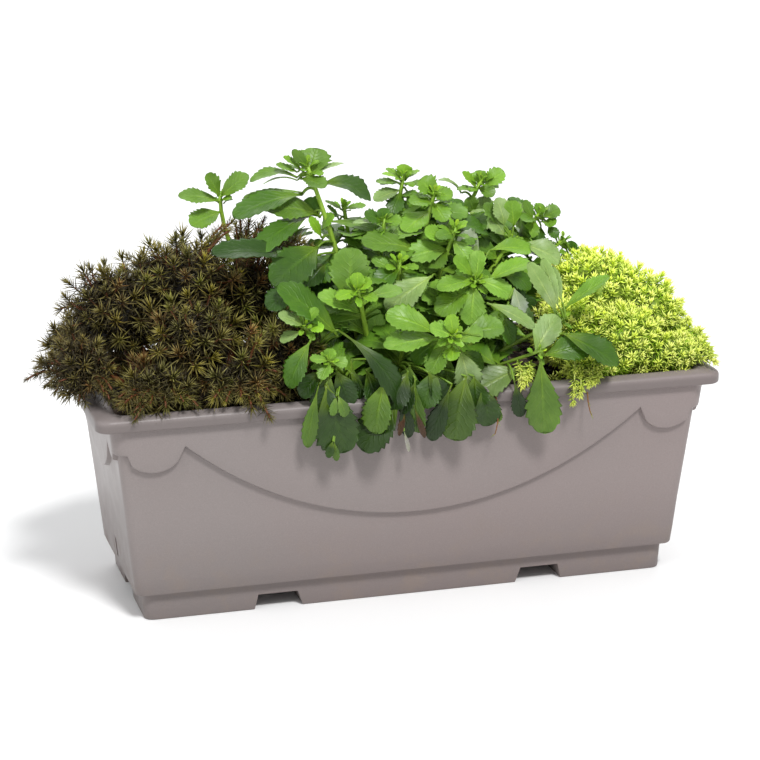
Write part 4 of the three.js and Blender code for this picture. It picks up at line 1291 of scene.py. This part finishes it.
# One row a shoot: its head, its root, the axis of its rosette, how many leaves the rosette has and the
# longest of them, the points that a bent stem passes, and the leaves seen in the photograph. The last
# three rows are the shoots at the back, where a larger rosette fills the outline.
SHOOTS = [
    {"head": (-50, 6, 268), "root": (-14, 4), "axis": (-0.1, -0.3, 1), "count": 12, "longest": 15, "seen": [
        Seen((298, 177), (250, 182), 17, 2, "dull", up=2.6, arch=0.24),
        Seen((298, 180), (263, 184), 4, 6, "silver", up=3.0, arch=0.2),
        Seen((298, 172), (276, 165), 12, 4, "mid"), Seen((302, 170), (283, 157), 10, 2, "mid"),
        Seen((306, 172), (292, 150), 12, 2, "dull", up=0.4),
        Seen((308, 178), (317, 148), 30, -8, "dull", up=0.2),
        Seen((314, 176), (344, 163), 10, 0, "silver", up=1.6),
        Seen((300, 178), (325, 188), 20, 18, "dull", up=1.5),
        Seen((320, 184), (371, 200), 28, 6, "shaded", up=1.2, arch=0.28),
        Seen((303, 194), (233, 218), 30, 14, "deep", up=1.0, arch=0.12),
        Seen((303, 192), (243, 198), 10, -6, "mid", up=2.0, arch=0.1),
        Seen((318, 214), (264, 208), 34, 8, "dull"), Seen((320, 218), (304, 200), 20, -4, "deep"),
        Seen((311, 215), (252, 255), 25, 40, "deep"), Seen((322, 222), (388, 234), 16, 6, "dull", up=1.2),
        Seen((322, 238), (309, 217), 11, 6, "young"),
        Seen((318, 247), (272, 286), 38, 36, "shaded", y=-12, up=0.35),
        Seen((304, 262), (211, 254), 28, 36, "dark", y=-16, up=0.9),
        Seen((322, 230), (334, 214), 14, 4, "mid"), Seen((322, 240), (308, 262), 22, -6, "deep"),
        Seen((326, 262), (304, 286), 26, 6, "dark"), Seen((330, 270), (344, 300), 24, 0, "dark"),
        Seen((334, 256), (314, 280), 30, 2, "deep", up=0.4),
        Seen((324, 264), (328, 296), 30, 2, "dark", up=0.4),
        Seen((340, 278), (316, 300), 28, 0, "dark", up=0.4),
        Seen((330, 244), (340, 268), 18, 2, "deep", up=0.5),
    ]},
    {"head": (-99, 36, 245), "root": (-36, 24), "axis": (-0.2, -0.3, 1), "count": 7, "longest": 9,
     "via": [(-76, 40, 172), (-99, 37, 212)], "seen": [
        Seen((218, 198), (206, 174), 18, 2, "dull"), Seen((221, 198), (249, 175), 26, 4, "dull"),
        Seen((217, 202), (178, 196), 19, 4, "dull"), Seen((221, 211), (191, 226), 26, 8, "mid"),
        Seen((222, 202), (232, 198), 9, 6, "young"),
    ]},
    {"head": (20, 30, 253), "root": (4, 28), "axis": (0, -0.3, 1), "count": 18, "longest": 16, "seen": [
        Seen((403, 178), (405, 164), 16, 2, "young"), Seen((400, 180), (382, 174), 8, 4, "young", up=1.6),
        Seen((402, 184), (376, 182), 12, 4, "mid"), Seen((404, 190), (374, 201), 16, 8, "silver"),
        Seen((406, 190), (424, 212), 24, 14, "mid"), Seen((400, 192), (392, 214), 18, 12, "deep"),
        Seen((410, 200), (388, 226), 20, 10, "mid"), Seen((412, 205), (440, 222), 20, 8, "mid"),
    ]},
    {"head": (33, 4, 246), "root": (12, 8), "axis": (0.1, -0.5, 1), "count": 15, "longest": 14, "seen": [
        Seen((433, 197), (420, 179), 24, -2, "mid"), Seen((436, 196), (453, 196), 18, 6, "mid"),
        Seen((434, 202), (410, 204), 22, 8, "mid"), Seen((436, 204), (446, 222), 20, 12, "mid"),
        Seen((430, 210), (404, 232), 28, 12, "mid"), Seen((436, 225), (462, 200), 20, -4, "deep"),
        Seen((440, 236), (491, 238), 26, 4, "deep", up=0.9, arch=0.5),
        Seen((440, 228), (420, 252), 22, 12, "mid"),
    ]},
    {"head": (75, 36, 246), "root": (26, 26), "axis": (0.1, -0.3, 1), "count": 15, "longest": 13, "seen": [
        Seen((476, 188), (462, 172), 12, 2, "young"), Seen((480, 186), (480, 170), 15, -2, "mid"),
        Seen((484, 187), (504, 171), 19, 2, "mid"), Seen((480, 188), (494, 196), 16, 8, "dull"),
        Seen((474, 189), (457, 190), 10, 6, "mid"),
        Seen((462, 193), (438, 180), 12, 0, "silver", up=3.0, arch=0.25),
        Seen((470, 212), (503, 224), 24, 8, "silver"), Seen((468, 210), (446, 224), 16, 8, "deep"),
        Seen((474, 212), (468, 197), 16, 2, "dull", up=0.4),
        Seen((484, 216), (484, 196), 20, 2, "silver", up=0.4),
    ]},
    {"head": (114, 30, 223), "root": (38, 18), "axis": (0.25, -0.3, 1), "count": 15, "longest": 12, "seen": [
        Seen((534, 224), (517, 202), 9, 2, "silver"), Seen((536, 222), (524, 200), 11, 0, "dull"),
        Seen((541, 218), (543, 204), 15, 2, "mid"), Seen((543, 218), (560, 209), 18, 2, "dull"),
        Seen((543, 222), (556, 224), 14, 8, "mid"), Seen((538, 222), (530, 238), 16, 12, "mid"),
        Seen((541, 226), (536, 244), 15, 6, "deep"), Seen((548, 226), (557, 238), 13, 6, "deep"),
        Seen((534, 232), (508, 198), 20, -4, "deep"), Seen((532, 234), (503, 216), 18, 2, "silver"),
    ]},
    {"head": (134, 40, 202), "root": (48, 12), "axis": (0.3, -0.3, 1), "count": 10, "longest": 9, "seen": [
        Seen((572, 254), (562, 259), 11, 4, "deep"), Seen((574, 255), (585, 260), 12, 4, "deep"),
        Seen((572, 252), (587, 250), 13, 4, "dull"), Seen((570, 252), (575, 242), 14, 2, "deep"),
        Seen((568, 253), (560, 253), 9, 6, "mid"),
        Seen((566, 248), (555, 228), 6, 2, "silver", up=3.0, arch=-0.3),
    ]},
    {"head": (-22, 22, 237), "root": (-10, 18), "axis": (0, -0.3, 1), "count": 8, "longest": 9, "seen": [
        Seen((342, 212), (325, 201), 9, 2, "mid", up=1.5),
        Seen((344, 210), (366, 205), 11, 2, "mid", up=1.5), Seen((344, 209), (345, 199), 7, 2, "young"),
        Seen((340, 220), (327, 206), 10, 4, "mid"), Seen((336, 240), (322, 222), 10, 4, "mid"),
        Seen((336, 244), (344, 226), 9, 4, "young"),
    ]},
    {"head": (-3, -4, 233), "root": (0, 2), "axis": (0, -0.5, 1), "count": 11, "longest": 11, "seen": [
        Seen((384, 222), (364, 214), 16, 2, "deep"), Seen((386, 220), (381, 208), 14, 0, "deep"),
        Seen((388, 222), (402, 222), 14, 6, "mid"), Seen((384, 226), (352, 223), 9, 2, "silver", up=1.8),
        Seen((421, 251), (361, 243), 28, 10, "dull", y=-8),
        Seen((420, 278), (361, 270), 22, 8, "dark", y=-10, up=1.2),
    ]},
    {"head": (-33, -52, 200), "root": (-16, -24), "axis": (0.1, -0.75, 0.7), "count": 12, "longest": 15,
     "seen": [
        Seen((362, 316), (317, 297), 26, 6, "light"), Seen((366, 298), (403, 290), 18, 4, "light"),
        Seen((381, 352), (371, 306), 22, 4, "light"), Seen((354, 292), (336, 299), 15, 6, "young"),
        Seen((350, 304), (351, 247), 38, -6, "dull", y=-44), Seen((360, 288), (372, 280), 13, 4, "young"),
        Seen((358, 290), (357, 272), 14, 2, "young"), Seen((360, 294), (378, 300), 12, 8, "young"),
    ]},
    {"head": (48, -36, 197), "root": (22, -14), "axis": (0, -0.8, 0.75), "count": 13, "longest": 13, "seen": [
        Seen((474, 281), (437, 290), 22, 8, "mid"), Seen((480, 282), (513, 296), 24, 8, "light"),
        Seen((472, 276), (453, 258), 18, 2, "mid"), Seen((477, 276), (480, 250), 18, 0, "light"),
        Seen((477, 286), (471, 326), 26, 8, "light"), Seen((470, 288), (437, 315), 28, 8, "mid"),
        Seen((487, 281), (532, 263), 24, 4, "mid"),
        Seen((490, 250), (531, 250), 22, -4, "mid", y=-24, arch=0.12),
    ]},
    {"head": (-71, -66, 184), "root": (-36, -24), "axis": (-0.2, -0.8, 0.6), "count": 10, "longest": 10,
     "seen": [
        Seen((302, 325), (278, 316), 19, 4, "silver"), Seen((306, 327), (324, 329), 14, 6, "young"),
        Seen((310, 342), (289, 388), 24, 2, "deep", y=-78), Seen((301, 332), (281, 343), 13, 6, "silver"),
        Seen((306, 322), (318, 308), 13, 0, "mid"), Seen((318, 352), (301, 370), 20, 0, "deep"),
        Seen((338, 336), (276, 286), 34, 2, "deep", y=-58),
        Seen((302, 290), (266, 308), 28, 2, "dark", y=-56),
        Seen((338, 330), (403, 405), 25, 10, "dark", y=-64, up=0.5, arch=0.35),
        Seen((304, 318), (276, 308), 26, 0, "dark", y=-22, up=0.4),
        Seen((306, 322), (280, 322), 22, 0, "deep", y=-30, up=0.4),
        Seen((316, 350), (296, 322), 24, -14, "dark"), Seen((320, 345), (344, 318), 24, -18, "dark"),
        Seen((312, 356), (330, 330), 20, -10, "deep"),
    ]},
    {"head": (-58, -76, 164), "root": (-30, -36), "axis": (0, -0.7, 0.7), "count": 9, "longest": 9, "seen": [
        Seen((326, 361), (310, 360), 12, 4, "light"), Seen((330, 361), (348, 364), 14, 4, "light"),
        Seen((327, 364), (321, 380), 13, 8, "light"), Seen((328, 360), (330, 348), 12, 0, "mid"),
        Seen((319, 384), (307, 448), 15, 4, "mid", y=-79, up=0.5),
        Seen((326, 384), (345, 453), 42, 4, "deep", y=-78, up=0.5),
        Seen((336, 396), (332, 416), 8, 2, "light", y=-81, up=0.3, arch=0.3),
        Seen((338, 395), (346, 417), 11, 2, "light", y=-82, up=0.3, arch=0.3),
        Seen((322, 370), (302, 398), 20, 2, "dark"),
        Seen((330, 374), (318, 410), 24, 4, "dark", y=-75, up=0.6),
        Seen((336, 370), (350, 406), 24, 4, "dark", y=-72, up=0.7),
        Seen((350, 372), (366, 398), 22, 4, "dark", y=-68, up=0.8),
        Seen((333, 441), (328, 458), 8, 1, "deep", y=-84, up=0.3),
        Seen((334, 442), (337, 461), 7, 1, "mid", y=-84, up=0.3),
    ]},
    {"head": (20, -76, 174), "root": (12, -40), "axis": (0.1, -0.85, 0.5), "count": 13, "longest": 13,
     "seen": [
        Seen((438, 337), (384, 348), 34, 6, "light"), Seen((436, 334), (385, 315), 28, -6, "mid"),
        Seen((464, 334), (504, 327), 28, 2, "dull"), Seen((458, 341), (484, 333), 20, 8, "light"),
        Seen((450, 334), (429, 328), 17, 4, "light"), Seen((453, 330), (450, 314), 15, 2, "young"),
        Seen((452, 346), (453, 361), 16, 10, "young"), Seen((447, 345), (430, 374), 23, 6, "light"),
        Seen((448, 352), (446, 395), 20, 2, "mid"), Seen((460, 350), (470, 393), 28, 4, "silver"),
        Seen((440, 340), (412, 362), 22, -8, "deep"), Seen((462, 352), (484, 366), 18, -6, "deep"),
    ]},
    {"head": (-7, -66, 172), "root": (-4, -34), "axis": (0, -0.9, 0.3), "count": 6, "longest": 9, "seen": [
        Seen((351, 360), (356, 409), 21, 2, "dull", y=-66, up=0.5),
        Seen((384, 382), (376, 434), 29, 4, "mid", y=-80, up=0.5),
        Seen((400, 398), (362, 451), 36, 2, "deep", y=-78, up=0.5),
        Seen((415, 378), (419, 433), 17, 4, "mid", y=-76, up=0.5),
        Seen((404, 431), (409, 452), 4, 1, "bare", y=-82, up=0.4),
        Seen((405, 408), (399, 436), 6, 2, "dry", y=-80, up=0.5),
        Seen((413, 404), (425, 438), 6, 2, "dry", y=-80, up=0.5),
        Seen((466, 376), (455, 441), 40, 5, "dull", y=-78, up=0.5),
        Seen((452, 384), (431, 441), 19, 2, "dark", y=-79, up=0.5),
        Seen((400, 392), (409, 438), 14, 4, "dark", y=-77, up=0.6),
        Seen((416, 380), (402, 414), 16, 5, "dark", y=-76, up=0.7),
        Seen((482, 386), (489, 426), 26, 2, "deep", y=-79, up=0.4),
        Seen((500, 408), (497, 422), 8, 2, "young", y=-80, up=0.4),
        Seen((366, 370), (378, 404), 26, 2, "dark", y=-74, up=0.4),
        Seen((408, 372), (390, 410), 28, 6, "dark", y=-74, up=0.7),
        Seen((436, 370), (422, 408), 26, 6, "deep", y=-74, up=0.8),
        Seen((428, 372), (444, 404), 22, 2, "dark", y=-76, up=0.5),
        Seen((410, 366), (404, 392), 24, 2, "deep", y=-70, up=0.4),
        Seen((474, 376), (478, 408), 26, 2, "deep", y=-77, up=0.4),
    ]},
    {"head": (76, -78, 160), "root": (34, -36), "axis": (0.3, -0.8, 0.5), "count": 6, "longest": 8, "seen": [
        Seen((540, 350), (545, 434), 33, 6, "mid", y=-78, up=0.4),
        Seen((533, 349), (558, 315), 31, 2, "silver"), Seen((562, 333), (619, 364), 28, 8, "deep"),
        Seen((543, 356), (592, 344), 28, 2, "deep", up=0.4), Seen((520, 368), (468, 396), 36, 6, "silver"),
        Seen((514, 380), (521, 417), 15, 2, "dark", y=-79, up=0.4),
    ]},
    {"head": (99, -60, 175), "root": (42, -26), "axis": (0.5, -0.6, 0.6), "count": 5, "longest": 9, "seen": [
        Seen((564, 309), (610, 276), 19, 8, "mid"), Seen((557, 314), (528, 262), 17, 2, "silver", up=0.3),
        Seen((559, 308), (543, 258), 14, -2, "silver", up=0.3),
        Seen((562, 302), (552, 266), 10, -4, "silver"), Seen((572, 338), (594, 329), 14, -4, "dark", y=-46),
    ]},
    {"head": (62, -52, 179), "root": (30, -24), "axis": (0.1, -0.7, 0.6), "count": 7, "longest": 11, "seen": [
        Seen((487, 303), (535, 328), 17, 6, "silver", y=-54),
        Seen((514, 288), (522, 315), 17, 2, "pale", y=-48, up=0.4),
        Seen((500, 312), (512, 344), 18, 0, "deep"), Seen((505, 306), (492, 330), 16, 2, "mid"),
    ]},
    {"head": (42, -12, 226), "root": (18, -4), "axis": (0.1, -0.5, 1), "count": 10, "longest": 14, "seen": [
        Seen((452, 252), (424, 266), 30, 8, "dull"), Seen((455, 258), (476, 244), 24, 0, "silver"),
        Seen((450, 240), (424, 232), 20, 4, "mid"), Seen((456, 240), (470, 262), 18, 10, "light"),
        Seen((432, 276), (386, 310), 32, 6, "silver", y=-34),
    ]},
    {"head": (85, 4, 212), "root": (36, 2), "axis": (0.2, -0.5, 1), "count": 10, "longest": 13, "seen": [
        Seen((520, 244), (560, 262), 28, 6, "silver"), Seen((505, 236), (490, 216), 20, 2, "silver"),
        Seen((504, 226), (496, 198), 22, 2, "silver"), Seen((514, 226), (511, 200), 20, 2, "mid", up=0.5),
        Seen((500, 226), (483, 204), 18, 0, "dull"), Seen((508, 244), (537, 247), 18, 0, "mid"),
        Seen((504, 262), (530, 276), 20, 4, "mid"), Seen((500, 272), (532, 286), 24, 2, "deep", y=-8),
        Seen((498, 306), (523, 284), 26, 0, "dark", y=8, up=0.4),
        Seen((503, 312), (536, 300), 24, 0, "dark", y=0, up=0.4),
        Seen((480, 252), (458, 236), 24, 2, "pale", y=-10, up=0.5),
    ]},
    {"head": (1, -26, 210), "root": (2, -14), "axis": (0, -0.6, 0.9), "count": 10, "longest": 13, "seen": [
        Seen((395, 268), (376, 286), 22, 8, "deep"), Seen((402, 272), (420, 292), 20, 6, "deep"),
        Seen((398, 300), (372, 322), 22, 4, "deep"), Seen((406, 300), (430, 320), 22, 4, "deep"),
    ]},
    {"head": (-52, 62, 206), "root": (-24, 40), "axis": (-0.3, 0.5, 1), "count": 16, "longest": 30,
     "seen": []},
    {"head": (22, 70, 204), "root": (8, 46), "axis": (0, 0.6, 1), "count": 16, "longest": 30,
     "seen": []},
    {"head": (84, 64, 190), "root": (34, 36), "axis": (0.3, 0.5, 1), "count": 16, "longest": 30,
     "seen": []},
]
# The outline of the green leaves in the photograph, drawn in a little: leaves that fill the middle end
# inside it.
MASS = [
    (330, 212), (360, 222), (384, 228), (400, 200), (412, 186), (424, 190), (448, 198), (470, 208),
    (500, 204), (532, 218), (552, 242), (560, 290), (560, 330), (540, 352), (515, 378), (470, 384),
    (420, 390), (345, 392), (300, 384), (288, 350), (292, 300), (322, 286), (326, 250),
]
PIXELS_PER_MM = 1.5                              # about, at the leaves
NEAR_STEM = 5                                    # pixels within which a leaf needs no stalk
LOWEST_STALK = 148.0                             # leaves spring from their stem above this height
# Painted shade: leaves that hang low over the rim lie in the shade of those above. Heights of a leaf's
# middle, and its shade at each.
LOW_LEAF_SHADE = ((128, 172), (0.36, 1.0))

# Filling leaves end inside MASS, or within "behind", where the seen leaves hide them. They stay back
# from "front", above "low", and above "high" where they are over the rim.
FILLING = {"behind": {"x": (-96, 112), "y": 25, "z": 168}, "front": -34, "rim": (-58, 67),
           "low": 130, "high": 144}


def within(outline, place):
    """Whether a pixel lies inside an outline."""
    odd = False
    for (x0, y0), (x1, y1) in zip(outline, outline[1:] + outline[:1]):
        if (y0 > place[1]) != (y1 > place[1]) and place[0] < x0 + (place[1] - y0) * (x1 - x0) / (y1 - y0):
            odd = not odd
    return odd


def stem_path(row):
    """A shoot's stem, from the compost to its head."""
    start = np.array([*row["root"], SOIL["top"] - 3.0])
    head = np.array(row["head"], float)
    lift = head - start
    via = row.get("via") or [start + lift * (0.15, 0.15, 0.42), start + lift * (0.62, 0.62, 0.72)]
    return curve([start, *np.array(via, float), head], 12)


def resampled(path, count):
    """So many points along a path, as many in each of its steps."""
    at = np.linspace(0, len(path) - 1, count)
    return np.stack([np.interp(at, np.arange(len(path)), path[:, i]) for i in range(3)], 1)


def nearest_on(path, pixel):
    """Where a path above the rim passes nearest to a pixel, in the photograph, and how near."""
    fine = resampled(path, 80)
    fine = fine[fine[:, 2] > LOWEST_STALK]
    gaps = [np.linalg.norm(pixel_of(p) - pixel) for p in fine]
    return fine[int(np.argmin(gaps))], min(gaps)


def seen_leaf(shape, one, path, rng):
    """One leaf where the photograph shows it, on a stalk of its own where the stem is far from it."""
    base, gap = nearest_on(path, np.array(one.base, float))
    if gap > NEAR_STEM or one.y is not None:
        near = base
        base = at_depth(one.base, near[1] if one.y is None else one.y)
        route = curve([near + (0, 0, -1), (near + base) / 2 + (0, 0, 4), base], 7)
        # Painted shade: the stalk is a deeper green than the stem, as it lies in shade among the leaves.
        tube(shape, route, np.linspace(0.9, 0.65, 7), blend(TONES["deep"], TONES["stem"], 0.35), 5)
    tip = at_depth(one.tip, base[1] - one.toward)
    length = np.linalg.norm(tip - base)
    facing = unit(Z * one.up - FORWARD * 0.65 + rng.normal(0, 0.10, 3))
    arch = rng.uniform(0.05, 0.16) if one.arch is None else one.arch
    hangs = base[2] - tip[2] > 0.75 * length
    slender = np.linalg.norm(np.subtract(one.tip, one.base)) > 2.2 * one.width
    plan = MEDIUM if length < 20 else SPOON if hangs and slender else LARGE
    low_shade = np.interp((base[2] + tip[2]) / 2, *LOW_LEAF_SHADE)
    tone = np.asarray(TONES[one.tone]) * rng.uniform(0.85, 1.15) * low_shade
    fold, twist = rng.uniform(0.1, 0.4), rng.normal(0, 0.2)
    leaf(shape, plan, base, tip, facing, one.width / PIXELS_PER_MM, tone, rng, arch, fold, twist, wave=0.07)


def is_clear(base, tip):
    """Whether a leaf from base to tip stays off the rim and out of the way of the leaves that were seen."""
    x, y, z = tip
    back, (left, right) = FILLING["behind"], FILLING["behind"]["x"]
    behind = y > back["y"] and z < back["z"] and left < x < right
    in_front = y < FILLING["front"] or (y < base[1] - 12 and base[1] < 10)
    if not behind and (in_front or not within(MASS, pixel_of(tip))):
        return False
    over_rim = not FILLING["rim"][0] <= y <= FILLING["rim"][1]
    return z >= FILLING["high" if over_rim else "low"]


def filling_leaves(shape, path, whorl, rng):
    """Leaves all along the stem, a whorl at a time, where nothing seen in the photograph is."""
    fine = resampled(path, 81)
    for step in range(4, 79, 3):
        for number in range(whorl):
            turn = step * 0.8 + number * math.pi + rng.normal(0, 0.4)
            out = unit(np.array([math.cos(turn), math.sin(turn), rng.uniform(-0.1, 0.7)]))
            long = rng.uniform(22, 36) * (0.7 if step > 68 else 1)
            base, tip = fine[step], fine[step] + out * long
            if not is_clear(base, tip):
                continue
            # Painted light and shade: the lower a filling leaf's tip, the darker its green.
            light = rng.uniform(0.2, 1) * np.clip((tip[2] - 130) / 50, 0.1, 1)
            lean = np.array([0, -0.7 if tip[1] < 20 else 0.6, 0])
            facing = unit(Z + lean + rng.normal(0, 0.2, 3))
            width = long * rng.uniform(0.45, 0.62)
            arch, twist = rng.uniform(0.08, 0.2), rng.normal(0, 0.25)
            tone = blend(TONES["deep"], TONES["light"], light)
            leaf(shape, MEDIUM, base, tip, facing, width, tone, rng, arch, 0.2, twist)


STEM_RADII = (2.2, 1.25)
# Painted shade: the stems of shoots with lower heads are darker, as they stand in shade.
LOW_SHOOT = {"z": 190.0, "girth": 0.75, "tone": 0.5}     # a shoot with a lower head is thinner and darker


def make_green(material):
    rng = np.random.default_rng(21)
    for i, row in enumerate(SHOOTS):
        shape = Shape()
        head = np.array(row["head"], float)
        path = stem_path(row)
        low = head[2] < LOW_SHOOT["z"]
        radii = np.linspace(*STEM_RADII, len(path)) * (LOW_SHOOT["girth"] if low else 1.0)
        tone = blend(TONES["stem"], TONES["young"], np.linspace(0, 0.6, len(path))[:, None])
        tube(shape, path, radii, tone * (LOW_SHOOT["tone"] if low else 1.0), 7)
        rosette(shape, head, unit(row["axis"]), row["count"], row["longest"], rng)
        for one in row["seen"]:
            seen_leaf(shape, one, path, rng)
        filling_leaves(shape, path, 3 if head[1] > 30 else 2, rng)
        shape.piece(f"green_leaves_{i + 1:02d}", f"green_shoot_{i + 1:02d}", material)


# ---------- the scene ----------

make_camera()
make_studio()
make_box()
make_soil()
make_bronze(bronze_material())
make_lime(lime_material())
make_green(leaf_material())
roots = roots_material()
for name in ("bronze_root_ball", "green_root_ball", "lime_root_ball"):
    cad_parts[name].data.materials.clear()
    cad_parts[name].data.materials.append(roots)
